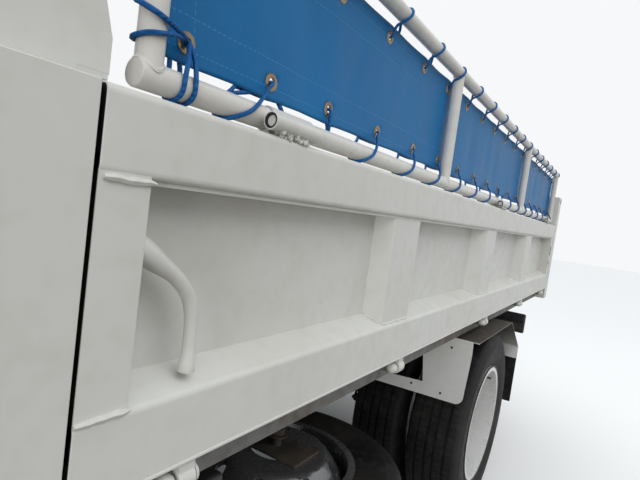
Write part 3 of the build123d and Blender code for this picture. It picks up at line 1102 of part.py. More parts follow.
# Mirrors on arms from the cab's front corners.
with BuildPart() as mirrors:
    for name, sign in SIDES:
        head = sorted((sign * MIRROR_Y[0], sign * MIRROR_Y[1]))
        foot = sorted((sign * CAB_HALF, sign * (CAB_HALF + 16)))
        block((MIRROR_X - 15, MIRROR_X + 15), head, MIRROR_Z)
        block((MIRROR_FOOT_X - 20, MIRROR_FOOT_X + 20), foot, (CAB_BELT - 100, CAB_BELT - 50))
        top = (MIRROR_X, sign * (MIRROR_Y[0] + 20), MIRROR_Z[0] + 70)
        rod(top, (MIRROR_FOOT_X, sign * (CAB_HALF + 14), CAB_BELT - 75), 11)
save(mirrors, "mirrors")
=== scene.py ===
import json
import math
import random

import bmesh
import bpy
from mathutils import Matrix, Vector

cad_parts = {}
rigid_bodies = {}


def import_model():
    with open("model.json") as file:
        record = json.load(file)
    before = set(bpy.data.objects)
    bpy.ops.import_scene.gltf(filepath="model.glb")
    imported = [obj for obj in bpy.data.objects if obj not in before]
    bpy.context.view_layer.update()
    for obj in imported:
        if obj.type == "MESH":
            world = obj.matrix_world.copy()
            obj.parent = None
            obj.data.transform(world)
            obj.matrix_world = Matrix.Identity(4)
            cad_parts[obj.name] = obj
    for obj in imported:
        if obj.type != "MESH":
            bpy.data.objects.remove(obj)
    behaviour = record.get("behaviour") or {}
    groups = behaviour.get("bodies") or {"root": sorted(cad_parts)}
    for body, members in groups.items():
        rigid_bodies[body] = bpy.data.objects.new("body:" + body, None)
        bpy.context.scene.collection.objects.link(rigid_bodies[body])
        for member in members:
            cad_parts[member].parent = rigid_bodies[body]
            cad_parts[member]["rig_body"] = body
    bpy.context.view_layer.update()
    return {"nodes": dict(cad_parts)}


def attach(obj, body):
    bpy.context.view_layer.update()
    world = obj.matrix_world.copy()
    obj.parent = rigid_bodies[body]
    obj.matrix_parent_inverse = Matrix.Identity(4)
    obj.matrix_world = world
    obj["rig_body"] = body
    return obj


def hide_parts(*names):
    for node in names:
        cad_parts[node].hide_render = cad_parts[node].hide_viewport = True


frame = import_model()
NODES = frame["nodes"]

# The camera stands by the left front corner of the bed, at shoulder height,
# and looks backwards along the side gate with the horizon leaning to the left.
camera_data = bpy.data.cameras.new("camera")
camera_data.sensor_width = 36
camera_data.lens = 27.326
camera_data.clip_start = 0.02
camera = bpy.data.objects.new("camera", camera_data)
camera.location = (0.9755, 1.2334, 1.1630)
camera.rotation_euler = [math.radians(a) for a in (86.2197, -7.6066, 122.4941)]
bpy.context.scene.collection.objects.link(camera)
bpy.context.scene.camera = camera

# A pale studio floor and backdrop. Camera, gloss and glass see them pale, while
# the light that they throw up under the truck is that of worn ground.
SEEN_PALE = (0.83, 0.83, 0.82)
GROUND_GLOW = (0.15, 0.14, 0.125)


def shade(tree, kind, inputs, out=0, **settings):
    """Adds a shader node, sets or links its inputs and gives back one of its outputs."""
    made = tree.nodes.new("ShaderNode" + kind)
    for name, value in settings.items():
        setattr(made, name, value)
    for name, value in inputs.items():
        if isinstance(value, bpy.types.NodeSocket):
            tree.links.new(value, made.inputs[name])
        else:
            made.inputs[name].default_value = value
    return made.outputs[out]


def maths(tree, operation, a, b=0.5, **settings):
    """A shader value worked out from one or two others."""
    return shade(tree, "Math", {0: a, 1: b}, operation=operation, **settings)


def spread(tree, value, low, high, start=0.0, end=1.0):
    """A shader value moved from one range to another."""
    inputs = {"Value": value, "From Min": low, "From Max": high, "To Min": start, "To Max": end}
    return shade(tree, "MapRange", inputs)


def blended(tree, share, under, over):
    """The colour over laid on the colour under by a share."""
    under, over = [c if isinstance(c, bpy.types.NodeSocket) else (*c, 1) for c in (under, over)]
    return shade(tree, "Mix", {"Factor": share, "A": under, "B": over}, "Result", data_type="RGBA")


def looks(tree):
    """Is one for rays from the camera, a reflection or glass, and nought for light."""
    rays = shade(tree, "LightPath", {}).node.outputs
    gloss = maths(tree, "MAXIMUM", rays["Is Camera Ray"], rays["Is Glossy Ray"])
    return maths(tree, "MAXIMUM", gloss, rays["Is Transmission Ray"])


def skin(name):
    """A new material, its node tree and its shader's inputs."""
    material = bpy.data.materials.new(name)
    material.use_nodes = True
    return material, material.node_tree, material.node_tree.nodes["Principled BSDF"].inputs


floor_mesh = bpy.data.meshes.new("floor")
ground_sheet = bmesh.new()
bmesh.ops.create_grid(ground_sheet, x_segments=1, y_segments=1, size=30)
ground_sheet.to_mesh(floor_mesh)
ground_sheet.free()
floor = bpy.data.objects.new("floor", floor_mesh)
bpy.context.scene.collection.objects.link(floor)
floor_paint, tree, shader = skin("floor")
shader["Roughness"].default_value = 0.9
tree.links.new(blended(tree, looks(tree), GROUND_GLOW, SEEN_PALE), shader["Base Color"])
floor_mesh.materials.append(floor_paint)

# A soft sky: brighter overhead than at the horizon, white where the camera sees it.
sky = bpy.data.worlds.new("sky")
sky.use_nodes = True
bpy.context.scene.world = sky
tree = sky.node_tree
tree.nodes.clear()
where = shade(tree, "TexCoord", {}, "Generated")
height = shade(tree, "SeparateXYZ", {0: where}, "Z")
strength = spread(tree, height, 0.0, 0.9, 0.20, 1.45)
dome = shade(tree, "Background", {"Color": (0.94, 0.97, 1, 1), "Strength": strength})
white = shade(tree, "Background", {"Color": (0.93, 0.94, 0.95, 1)})
seen = shade(tree, "MixShader", {0: looks(tree), 1: dome, 2: white})
tree.links.new(seen, tree.nodes.new("ShaderNodeOutputWorld").inputs[0])

# A broad soft lamp high on the truck's left gives the faces a direction, and a low one
# ahead of it stands for the open sky that reaches in under the bed.
for name, place, aim, size, energy in (
    ("softbox", (0.5, 4.5, 5.5), (-0.4, 0.2, 1.0), (6, 4), 115),
    ("low_front", (6.0, 2.2, 0.9), (-0.9, 0.6, 0.6), (2.4, 1.4), 105),
):
    lamp_data = bpy.data.lights.new(name, "AREA")
    lamp_data.shape = "RECTANGLE"
    lamp_data.size, lamp_data.size_y = size
    lamp_data.energy = energy
    lamp = bpy.data.objects.new(name, lamp_data)
    lamp.location = place
    lamp.visible_glossy = False
    lamp.rotation_euler = (Vector(aim) - lamp.location).to_track_quat("-Z", "Y").to_euler()
    bpy.context.scene.collection.objects.link(lamp)

bpy.context.scene.view_settings.view_transform = "Standard"

SIDES = (("left", 1), ("right", -1))


# Ladder frame: two folded steel channels with cross-members between them, brushed
# with black chassis paint that has gone dull and brown with road dust and surface rust.
def relief(tree, height, strength, depth, under=None, **settings):
    """A bump, laid over the normal under."""
    inputs = {"Strength": strength, "Distance": depth, "Height": height}
    if under:
        inputs["Normal"] = under
    return shade(tree, "Bump", inputs, **settings)


def painted(
    name, colour, rough=0.36, dust=(0.36, 0.30, 0.22), dust_share=0.10, wave=0.35, metal=0.0, grain=0.06,
    extra=None,
):
    """Brushed or sprayed paint: blotches of dust, a slow waviness and a fine skin."""
    material, tree, shader = skin(name)
    for socket, value in {"Metallic": metal, **(extra or {})}.items():
        shader[socket].default_value = value
    where = shade(tree, "TexCoord", {}, "Object")
    blotch, speck, slow, fine = [
        shade(tree, "TexNoise", {"Scale": scale, "Detail": detail, "Vector": where}, "Fac")
        for scale, detail in ((2.6, 6), (38, 4), (7, 2), (260, 2))
    ]
    patches = spread(tree, blotch, 0.50, 0.78, 0, dust_share * 2.2)
    dirty = maths(tree, "ADD", patches, spread(tree, speck, 0.45, 0.75, 0, dust_share), use_clamp=True)
    tree.links.new(blended(tree, dirty, colour, dust), shader["Base Color"])
    tree.links.new(spread(tree, speck, 0.3, 0.7, rough - 0.06, rough + 0.10), shader["Roughness"])
    swell = relief(tree, slow, wave, 0.006)
    tree.links.new(relief(tree, fine, grain, 0.001, swell), shader["Normal"])
    return material


def round_edges(part, radius, segments=2, least=25):
    """Breaks every edge that folds by more than least degrees."""
    folds = [e for e in part.edges if len(e.link_faces) == 2 and e.calc_face_angle(0) > math.radians(least)]
    bmesh.ops.bevel(
        part, geom=folds, offset=radius, affect="EDGES", segments=segments, profile=0.5,
        material=-1, clamp_overlap=True,
    )


def piece(name, shape, material, body, replaces=(), flipped=False, crisp=32):
    """Makes the object of one finished piece; flipped gives the right-hand one."""
    if flipped:
        bmesh.ops.scale(shape, verts=shape.verts, vec=(1, -1, 1))
        bmesh.ops.reverse_faces(shape, faces=shape.faces)
    for face in shape.faces:
        face.smooth = True
    for edge in shape.edges:
        edge.smooth = len(edge.link_faces) == 2 and edge.calc_face_angle(0) < math.radians(crisp)
    mesh = bpy.data.meshes.new(name)
    shape.to_mesh(mesh)
    shape.free()
    mesh.materials.append(material)
    made = bpy.data.objects.new(name, mesh)
    bpy.context.scene.collection.objects.link(made)
    even = made.modifiers.new("even", "WEIGHTED_NORMAL")
    even.keep_sharp = True
    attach(made, body)
    if replaces:
        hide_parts(*replaces)
    return made


def eased(node, material, radius=0.003, segments=2):
    """The node's own shape with its edges broken, for steel that was cut and folded."""
    shape = bmesh.new()
    shape.from_mesh(NODES[node].data)
    bmesh.ops.remove_doubles(shape, verts=shape.verts, dist=2e-5)
    bmesh.ops.dissolve_limit(
        shape, angle_limit=math.radians(0.6), use_dissolve_boundaries=False,
        verts=shape.verts, edges=shape.edges, delimit={"NORMAL"},
    )
    if radius:
        round_edges(shape, radius, segments, 35)
    piece(f"{node}_shape", shape, material, NODES[node]["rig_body"], [node])


CHASSIS_BLACK = painted(
    "chassis_black", (0.030, 0.029, 0.028), rough=0.58, dust=(0.17, 0.125, 0.085), dust_share=0.30, grain=0.25
)
for node in ("frame_rails", "cross_members", "frame_brackets", "spare_carrier"):
    eased(node, CHASSIS_BLACK, 0.002)

# Axles, steering and springs: forged and rolled steel bolted under the rails. Each stack
# of leaves is held down on its axle by two U-bolts with a plate and nuts underneath.
def weld_on(target, part):
    """Adds one finished part to the mesh of its piece."""
    mesh = bpy.data.meshes.new("part")
    part.to_mesh(mesh)
    part.free()
    target.from_mesh(mesh)
    bpy.data.meshes.remove(mesh)


def bar(target, outline, axis, start, end, radius=0.003, segments=2):
    """A bar with an outline of (y, z), (x, z) or (x, y) points, drawn out along X, Y or Z."""
    part = bmesh.new()
    place = {
        "X": lambda a, b: (start, a, b),
        "Y": lambda a, b: (a, start, b),
        "Z": lambda a, b: (a, b, start),
    }[axis]
    face = part.faces.new([part.verts.new(place(a, b)) for a, b in outline])
    way = {"X": (end - start, 0, 0), "Y": (0, end - start, 0), "Z": (0, 0, end - start)}[axis]
    grown = bmesh.ops.extrude_face_region(part, geom=[face])["geom"]
    bmesh.ops.translate(part, verts=[v for v in grown if isinstance(v, bmesh.types.BMVert)], vec=way)
    bmesh.ops.recalc_face_normals(part, faces=part.faces)
    if radius:
        round_edges(part, radius, segments)
    weld_on(target, part)


def about(middle, half):
    """The two places that stand half a width to each side of the middle."""
    return (middle - half, middle + half)


def circle(radius, count, first=0.0):
    """Points evenly spaced on a circle about (0, 0), the first at an angle in degrees."""
    angles = [math.radians(first + 360 * n / count) for n in range(count)]
    return [(radius * math.cos(angle), radius * math.sin(angle)) for angle in angles]


def block(target, x, y, z, radius=0.003, segments=2):
    """A square bar between two places on each axis."""
    bar(target, [(y[0], z[0]), (y[1], z[0]), (y[1], z[1]), (y[0], z[1])], "X", x[0], x[1], radius, segments)


def turned(target, outline, centre, axis, steps=48):
    """A closed outline of (along, radius) points spun about an axis through centre."""
    part = bmesh.new()
    along = {"X": Vector((1, 0, 0)), "Y": Vector((0, 1, 0)), "Z": Vector((0, 0, 1))}[axis]
    out = {"X": Vector((0, 0, 1)), "Y": Vector((0, 0, 1)), "Z": Vector((1, 0, 0))}[axis]
    centre = Vector(centre)
    ring = [part.verts.new(centre + along * a + out * r) for a, r in outline]
    edges = [part.edges.new((ring[i], ring[(i + 1) % len(ring)])) for i in range(len(ring))]
    bmesh.ops.spin(
        part, geom=ring + edges, cent=centre, axis=along, angle=2 * math.pi, steps=steps, use_merge=True,
    )
    bmesh.ops.remove_doubles(part, verts=part.verts, dist=1e-5)
    bmesh.ops.dissolve_degenerate(part, edges=part.edges, dist=1e-6)
    bmesh.ops.recalc_face_normals(part, faces=part.faces)
    weld_on(target, part)


def tube(target, points, radius, sides=10, order=3, taper=None, rings=6):
    """A round bar or rope along a smooth line through points, its ends closed."""
    curve = bpy.data.curves.new("line", "CURVE")
    curve.dimensions = "3D"
    curve.bevel_depth = radius
    curve.bevel_resolution = max(1, sides // 4 - 1)
    curve.resolution_u = rings
    curve.use_fill_caps = True
    line = curve.splines.new("NURBS")
    line.points.add(len(points) - 1)
    for n, (knot, place) in enumerate(zip(line.points, points)):
        knot.co = (*place, 1)
        knot.radius = taper[n] if taper else 1
    line.order_u = min(order, len(points))
    line.use_endpoint_u = True
    made = bpy.data.objects.new("line", curve)
    bpy.context.scene.collection.objects.link(made)
    mesh = bpy.data.meshes.new_from_object(made.evaluated_get(bpy.context.evaluated_depsgraph_get()))
    part = bmesh.new()
    part.from_mesh(mesh)
    bmesh.ops.remove_doubles(part, verts=part.verts, dist=1e-5)
    bmesh.ops.recalc_face_normals(part, faces=part.faces)
    bpy.data.objects.remove(made)
    bpy.data.curves.remove(curve)
    bpy.data.meshes.remove(mesh)
    weld_on(target, part)


def nut(target, centre, axis, across, height):
    """A hexagon nut with the end of its stud standing out."""
    a, b, c = centre
    ring = circle(across / math.sqrt(3), 6)
    if axis == "Z":
        bar(target, [(a + u, b + v) for u, v in ring], "Z", c, c + height, 0.001, 1)
    else:
        bar(target, [(a + u, c + v) for u, v in ring], "Y", b, b + height, 0.001, 1)
    low, high = sorted((0, height * 1.35))
    stud = [(low, 0), (low, across * 0.27), (high, across * 0.27), (high, 0)]
    turned(target, stud, centre, axis, 10)


FRONT_AXLE_X = 1.4125
REAR_AXLE_X = -1.0875
AXLE_Z = 0.376
SPRING_Y = 0.320
SPRING_STEEL = painted(
    "spring_steel", (0.060, 0.052, 0.045), rough=0.62, dust=(0.20, 0.12, 0.07), dust_share=0.45, metal=0.3,
    grain=0.3,
)
for node in ("front_axle", "rear_axle", "knuckle_left", "knuckle_right", "track_rod"):
    eased(node, CHASSIS_BLACK)
eased("leaf_springs", SPRING_STEEL, 0.002)
clamps = bmesh.new()
for axle_x, under, top in ((REAR_AXLE_X, 0.326, 0.476), (FRONT_AXLE_X, 0.286, 0.396)):
    for name, sign in SIDES:
        y = sign * SPRING_Y
        block(clamps, about(axle_x, 0.070), about(y, 0.047), (under - 0.013, under - 0.0005), 0.002)
        block(clamps, about(axle_x, 0.060), about(y, 0.029), (top + 0.0005, top + 0.011), 0.002)
        near, far = about(y, 0.037)
        for x in about(axle_x, 0.052):
            bend = [
                (x, near, under - 0.026), (x, near, top - 0.02), (x, near, top + 0.016), (x, y, top + 0.018),
                (x, far, top + 0.016), (x, far, top - 0.02), (x, far, under - 0.026),
            ]
            tube(clamps, bend, 0.0055, 12)
            for edge in (near, far):
                nut(clamps, (x, edge, under - 0.013), "Z", 0.017, -0.010)
piece("spring_clamps", clamps, SPRING_STEEL, "chassis")

# Shock absorbers: a painted tube below and a wider dust cover above, bolted between
# each axle and the rail.
def span(sign, inner, outer):
    """Two places across the truck on the side that sign picks, the lower one first."""
    return sorted((sign * inner, sign * outer))


shocks = bmesh.new()
for x, top_x in ((REAR_AXLE_X + 0.070, REAR_AXLE_X + 0.150), (FRONT_AXLE_X - 0.045, FRONT_AXLE_X - 0.110)):
    for name, sign in SIDES:
        foot = Vector((x, sign * 0.384, 0.345))
        head = Vector((top_x, sign * 0.382, 0.610))
        middle = foot.lerp(head, 0.52)
        tube(shocks, [foot, foot.lerp(head, 0.6)], 0.015, 20, rings=1)
        tube(shocks, [middle, head], 0.020, 20, rings=1)
        for end in (foot, head):
            eye = [(-0.014, 0.0), (-0.014, 0.017), (0.014, 0.017), (0.014, 0.0)]
            turned(shocks, eye, end, "Y", 20)
            inner = span(sign, 0.350, 0.372)
            block(shocks, about(end.x, 0.012), inner, about(end.z, 0.012), 0.002)
piece("shock_absorbers", shocks, CHASSIS_BLACK, "chassis")

# Engine and gearbox: cast iron under the cab's floor. Only the cover, the ribs of the
# crankcase and the belt pulleys on its front show from below.
ENGINE_IRON = painted(
    "engine_iron", (0.105, 0.105, 0.105), rough=0.60, dust=(0.24, 0.19, 0.13), dust_share=0.35, metal=0.25,
    grain=0.6,
)
eased("engine", ENGINE_IRON, 0.018, 3)
trim = bmesh.new()
for n in range(7):
    x = 1.115 + 0.085 * n
    for name, sign in SIDES:
        y = span(sign, 0.249, 0.262)
        block(trim, (x, x + 0.014), y, (0.46, 0.70))
block(trim, (1.09, 1.67), (-0.19, 0.19), (0.789, 0.806), 0.008, 3)
for y, z, r in ((0, 0.52, 0.085), (-0.14, 0.68, 0.055), (0.15, 0.66, 0.048)):
    wheel = [(0, 0), (0, r * 0.9), (0.006, r), (0.013, r * 0.82), (0.020, r), (0.026, r * 0.9), (0.026, 0)]
    turned(trim, wheel, (1.699, y, z), "X", 40)
piece("engine_trim", trim, ENGINE_IRON, "chassis")
eased("drive_shaft", CHASSIS_BLACK, 0.002)
joints = bmesh.new()
for x, axis_z, low, high in ((0.688, 0.500, -0.016, -0.004), (-0.8655, AXLE_Z, 0.004, 0.016)):
    for y, z in circle(0.044, 4, 45):
        head = [(low, 0), (low, 0.008), (high, 0.008), (high, 0)]
        turned(joints, head, (x, y, axis_z + z), "X", 6)
piece("shaft_bolts", joints, SPRING_STEEL, "chassis")

# Fuel tank: two pressed halves seam-welded together, hung on a bracket by two steel
# straps with rubber under them, its filler neck and cap facing outwards.
eased("fuel_tank", CHASSIS_BLACK, 0.006, 3)
straps = bmesh.new()
round_tank = [
    (-0.3495, 0.679), (-0.690, 0.682), (-0.7195, 0.669), (-0.732, 0.640), (-0.732, 0.440),
    (-0.7195, 0.411), (-0.690, 0.398), (-0.3495, 0.401),
]
for x in (0.215, 0.505):
    for a, b in zip(round_tank, round_tank[1:]):
        a, b = Vector(a), Vector(b)
        thick = Vector((a.y - b.y, b.x - a.x)).normalized() * 0.0016
        bar(straps, [a, b, b + thick, a + thick], "X", x - 0.019, x + 0.019, 0)
    nut(straps, (x, -0.38, 0.398), "Z", 0.015, -0.012)
neck = [
    (0, 0), (0, 0.034), (-0.030, 0.034), (-0.030, 0.043), (-0.033, 0.046), (-0.052, 0.046),
    (-0.056, 0.041), (-0.056, 0),
]
FILLER = (0.575, -0.708, 0.628)
turned(straps, neck, FILLER, "Y", 36)
for x, z in circle(0.046, 12):
    block(straps, about(FILLER[0] + x, 0.003), (-0.762, -0.742), about(FILLER[2] + z, 0.003), 0.001, 1)
piece("tank_straps", straps, SPRING_STEEL, "chassis")

# Battery box: a moulded lid with a rim over a tray, clipped down with two rubber hooks.
BLACK_PLASTIC = painted(
    "black_plastic", (0.018, 0.018, 0.019), rough=0.48, dust=(0.10, 0.09, 0.075), dust_share=0.12, wave=0.1,
    grain=0.3,
)
eased("battery_box", BLACK_PLASTIC, 0.012, 4)
lid = bmesh.new()
block(lid, (0.326, 0.644), (0.350, 0.704), (0.628, 0.640))
for n in range(6):
    x = 0.352 + 0.048 * n
    block(lid, (x, x + 0.022), (0.380, 0.670), (0.679, 0.684), 0.002)
for x in (0.40, 0.56):
    block(lid, (x, x + 0.018), (0.698, 0.712), (0.560, 0.660), 0.004, 3)
    block(lid, (x - 0.006, x + 0.024), (0.698, 0.708), (0.548, 0.565))
piece("battery_lid", lid, BLACK_PLASTIC, "chassis")

# Tyres: radial truck tyres with four grooves round a flat tread, fine cuts across the
# shoulders, a rubbing ridge and a bead that sits in the rim.
TREAD_CUTS = 96


def emboss(material, height, strength, depth, **settings):
    """Lays one more bump over the material's own."""
    tree = material.node_tree
    normal = tree.nodes["Principled BSDF"].inputs["Normal"]
    under = normal.links[0].from_socket
    tree.links.new(relief(tree, height, strength, depth, under, **settings), normal)


def rubber(name, colour, rough, dust_share):
    """Black rubber with road dust and, from the UV map, cuts across the tread."""
    material = painted(
        name, colour, rough, (0.13, 0.115, 0.095), dust_share, 0.15, grain=0.35,
        extra={"Specular IOR Level": 0.2},
    )
    tree = material.node_tree
    turn, across, _ = shade(tree, "SeparateXYZ", {0: shade(tree, "UVMap", {})}).node.outputs
    wave = maths(tree, "SINE", maths(tree, "MULTIPLY", turn, 2 * math.pi * TREAD_CUTS))
    cuts = maths(tree, "MULTIPLY", spread(tree, wave, 0.72, 0.93), spread(tree, across, 0.55, 0.60))
    emboss(material, cuts, 0.9, 0.004, invert=True)
    return material


TYRE_RUBBER = rubber("tyre_rubber", (0.008, 0.008, 0.009), 0.66, 0.12)
# One half of the tyre's outline from the bead to the middle: across, radius.
TYRE_HALF = (
    (0.0815, 0.2275), (0.0860, 0.2340), (0.0905, 0.2430), (0.0960, 0.2620), (0.1005, 0.2840),
    (0.1023, 0.3060), (0.1015, 0.3210), (0.1022, 0.3235), (0.1018, 0.3270), (0.1000, 0.3300),
    (0.0975, 0.3420), (0.0925, 0.3560), (0.0860, 0.3660), (0.0790, 0.3715), (0.0600, 0.3738),
    (0.0570, 0.3735), (0.0560, 0.3650), (0.0490, 0.3650), (0.0480, 0.3742), (0.0450, 0.3745),
    (0.0230, 0.3755), (0.0200, 0.3755), (0.0190, 0.3665), (0.0110, 0.3665), (0.0100, 0.3757),
    (0.0070, 0.3758),
)


def tyre(name, centres, axis, body, node):
    """One tyre, or the two of a twin wheel, on an axle along Y or an upright axis."""
    shape = bmesh.new()
    for centre in centres:
        far_half = [(-a, r) for a, r in reversed(TYRE_HALF)]
        turned(shape, [*TYRE_HALF, *far_half, (-0.074, 0.2290), (0.074, 0.2290)], centre, axis, 112)
    grain = shape.loops.layers.uv.new("tread")
    along = {"Y": 1, "Z": 2}[axis]
    flat = [n for n in range(3) if n != along]
    for face in shape.faces:
        middle = face.calc_center_median()
        centre = min(centres, key=lambda c: abs(c[along] - middle[along]))
        start = math.atan2(middle[flat[1]] - centre[flat[1]], middle[flat[0]] - centre[flat[0]])
        for corner in face.loops:
            place = [corner.vert.co[n] - centre[n] for n in flat]
            turn = math.atan2(place[1], place[0])
            turn += 2 * math.pi * round((start - turn) / (2 * math.pi))
            radius = math.hypot(*place)
            width = 1 - abs(corner.vert.co[along] - centre[along]) / 0.2
            corner[grain].uv = (turn / (2 * math.pi), width if radius > 0.367 else 0.0)
    piece(name, shape, TYRE_RUBBER, body, [node], crisp=50)


# Steel disc wheels: a rolled rim with a dished disc pressed from one plate, sprayed
# silver, with eight nuts on long studs round the hub.
WHEEL_SILVER = painted(
    "wheel_silver", (0.70, 0.70, 0.69), rough=0.30, dust=(0.50, 0.48, 0.44), dust_share=0.04, wave=0.02,
    metal=0.35, grain=0.01,
)
TWIN_Y = 0.636
TWIN_SHIFT = 0.115
FRONT_Y = 0.6975
WHEEL_NUTS_R = 0.1075
# The rolled edge of the rim and the valve: out along the axle, radius.
RIM_LIP = (
    (-0.006, 0.2330), (-0.002, 0.2375), (0.0015, 0.2375), (0.0025, 0.2345), (0.0005, 0.2300),
    (-0.006, 0.2290),
)
VALVE = ((0, 0), (0, 0.0045), (0.030, 0.0045), (0.032, 0.0035), (0.032, 0))
for side, sign in SIDES:
    twins = [(REAR_AXLE_X, sign * y, AXLE_Z) for y in about(TWIN_Y, TWIN_SHIFT)]
    tyre(f"rear_treads_{side}", twins, "Y", f"rear_wheels_{side}", f"rear_tyres_{side}")
    front = [(FRONT_AXLE_X, sign * FRONT_Y, AXLE_Z)]
    tyre(f"front_tread_{side}", front, "Y", f"front_wheel_{side}", f"front_tyre_{side}")
    for node, x, face, hub_r, hub_out in (
        (f"rear_wheels_{side}", REAR_AXLE_X, 0.645, 0.063, 0.737),
        (f"front_wheel_{side}", FRONT_AXLE_X, 0.8125, 0.067, 0.8735),
    ):
        eased(node, WHEEL_SILVER, 0.0025)
        fixings = bmesh.new()
        for u, v in circle(WHEEL_NUTS_R, 8):
            nut(fixings, (x + u, sign * face, AXLE_Z + v), "Y", 0.030, sign * 0.020)
        for u, v in circle(hub_r * 0.78, 8, 22.5):
            nut(fixings, (x + u, sign * hub_out, AXLE_Z + v), "Y", 0.013, sign * 0.006)
        rim_y = (TWIN_Y + TWIN_SHIFT if "rear" in node else FRONT_Y) + 0.0935
        valve_at = (x, sign * (rim_y - 0.025), AXLE_Z + 0.190)
        turned(fixings, [(sign * a, r) for a, r in RIM_LIP], (x, sign * rim_y, AXLE_Z), "Y", 96)
        turned(fixings, [(sign * a, r) for a, r in VALVE], valve_at, "Y", 12)
        piece(f"{node}_nuts", fixings, SPRING_STEEL, node)

# Spare wheel: lies dished side up under the left rail, held to its carrier by one stud.
SPARE = (-0.168, 0.464, 0.341)
tyre("spare_tread", [SPARE], "Z", "chassis", "spare_tyre")
# Painted shade: the spare wheel gets a darker copy of the wheels' silver for the shade that it lies in under
# the bed.
SHADED_SPARE_SILVER = painted(
    "spare_silver_shaded", (0.22, 0.225, 0.235), rough=0.26, dust=(0.16, 0.14, 0.12), dust_share=0.10, wave=0.05,
    metal=0.75, grain=0.02,
)
eased("spare_wheel", SHADED_SPARE_SILVER, 0.0025)
clamp = bmesh.new()
nut(clamp, (SPARE[0], SPARE[1], 0.496), "Z", 0.036, 0.018)
washer = [(0, 0.0), (0, 0.030), (0.004, 0.030), (0.004, 0.0)]
turned(clamp, washer, (SPARE[0], SPARE[1], 0.4925), "Z", 28)
piece("spare_clamp", clamp, SPRING_STEEL, "chassis")

# Mudguards: thin folded steel plates bolted to the rails by short stays. They are painted
# like the bed, and all faces but the forward ones are darkened by painted shade and the wheels' dirt.
ROAD_DUST = (0.36, 0.31, 0.24)
GUARD_STEEL = painted("guard_steel", (0.72, 0.72, 0.695), 0.40, ROAD_DUST, wave=0.3, grain=0.10)


def tinted(material, share, colour):
    """Covers the material's own colour with another one by a share."""
    tree = material.node_tree
    base = tree.nodes["Principled BSDF"].inputs["Base Color"]
    tree.links.new(blended(tree, share, base.links[0].from_socket, colour), base)


# Painted shade with the wheels' dirt darkens all faces but those that look forward.
tree = GUARD_STEEL.node_tree
facing = shade(tree, "SeparateXYZ", {0: shade(tree, "NewGeometry", {}, "Normal")}, "X")
tinted(GUARD_STEEL, spread(tree, facing, 0.60, 0.30), (0.062, 0.052, 0.042))
HEM_PAINT = painted("hem_paint", (0.66, 0.66, 0.635), 0.40, ROAD_DUST, 0.12)
eased("mudguards", GUARD_STEEL, 0.0009)
hem = bmesh.new()
GUARD_EDGE = ((-0.699, 0.7795), (-1.258, 0.7795), (-1.516, 0.631), (-1.516, 0.575))
for name, sign in SIDES:
    edge = [(x, sign * 0.8675, z) for x, z in GUARD_EDGE]
    for ends in zip(edge, edge[1:]):
        tube(hem, ends, 0.0045, 10, rings=1)
piece("guard_hems", hem, HEM_PAINT, "chassis")
# Small dark screw heads on the front plate; their dark colour is also painted shade for the holes seen there.
screws = bmesh.new()
head = [(0, 0), (0, 0.0045), (0.0008, 0.0045), (0.0018, 0.0030), (0.0018, 0)]
for name, sign in SIDES:
    for y, z in ((0.540, 0.584), (0.764, 0.577), (0.585, 0.760), (0.780, 0.745), (0.655, 0.580)):
        turned(screws, head, (-0.698, sign * y, z), "X", 12)
piece("guard_screws", screws, SPRING_STEEL, "chassis")
FLAP_RUBBER = rubber("flap_rubber", (0.010, 0.010, 0.011), 0.62, 0.15)
eased("mud_flaps", FLAP_RUBBER, 0.0015)
strips = bmesh.new()
head = [(0, 0), (0, 0.009), (-0.004, 0.009), (-0.006, 0.005), (-0.006, 0)]
for name, sign in SIDES:
    block(strips, (-1.5275, -1.5235), span(sign, 0.470, 0.862), (0.600, 0.628), 0.001, 1)
    for n in range(5):
        turned(strips, head, (-1.5270, sign * (0.495 + 0.085 * n), 0.614), "X", 12)
piece("flap_strips", strips, HEM_PAINT, "chassis")

# Bed floor and its underframe: steel plate on folded cross-members and side rails. The
# plate is scraped and rusty from loads, and only its edges still carry paint.
FLOOR_STEEL = painted(
    "bed_floor_steel", (0.235, 0.215, 0.190), rough=0.52, dust=(0.17, 0.085, 0.045), dust_share=0.55,
    wave=0.7, metal=0.35, grain=0.5,
)
eased("bed_floor", FLOOR_STEEL, 0.001, 1)
BED_PAINT = painted("bed_paint", (0.60, 0.60, 0.565), rough=0.34)

# Painted shade: the narrow joint between a pillar and a gate is coloured near black for the shadow inside the
# gap.
tree = BED_PAINT.node_tree
x, y, z = shade(tree, "SeparateXYZ", {0: shade(tree, "TexCoord", {}, "Object")}).node.outputs
painted_joint_shade = maths(tree, "MULTIPLY", maths(tree, "GREATER_THAN", x, 0.7268), maths(tree, "LESS_THAN", x, 0.7322))
painted_joint_shade = maths(tree, "MULTIPLY", painted_joint_shade, maths(tree, "LESS_THAN", z, 1.2440))
tinted(BED_PAINT, painted_joint_shade, (0.012, 0.012, 0.011))
# The underframe's paint is dirty, and is darkened further as painted shade under the bed and gates.
SHADED_UNDER_PAINT = painted(
    "shaded_under_paint", (0.15, 0.148, 0.140), rough=0.60, dust=(0.085, 0.065, 0.048), dust_share=0.50, wave=0.3,
    grain=0.2,
)
eased("bed_underframe", SHADED_UNDER_PAINT, 0.0025)
eased("bed_cross_members", SHADED_UNDER_PAINT, 0.0025)
lips = bmesh.new()
for name, sign in SIDES:
    block(lips, (-2.328, 0.727), span(sign, 0.7975, 0.8150), (0.828, 0.8495), 0.001, 1)
block(lips, (-2.4165, -2.4070), (-0.768, 0.768), (0.800, 0.8495), 0.001, 1)
block(lips, (0.8015, 0.8395), (-0.784, 0.784), (0.8445, 0.8495), 0.001, 1)
piece("floor_lips", lips, SHADED_UNDER_PAINT, "bed")


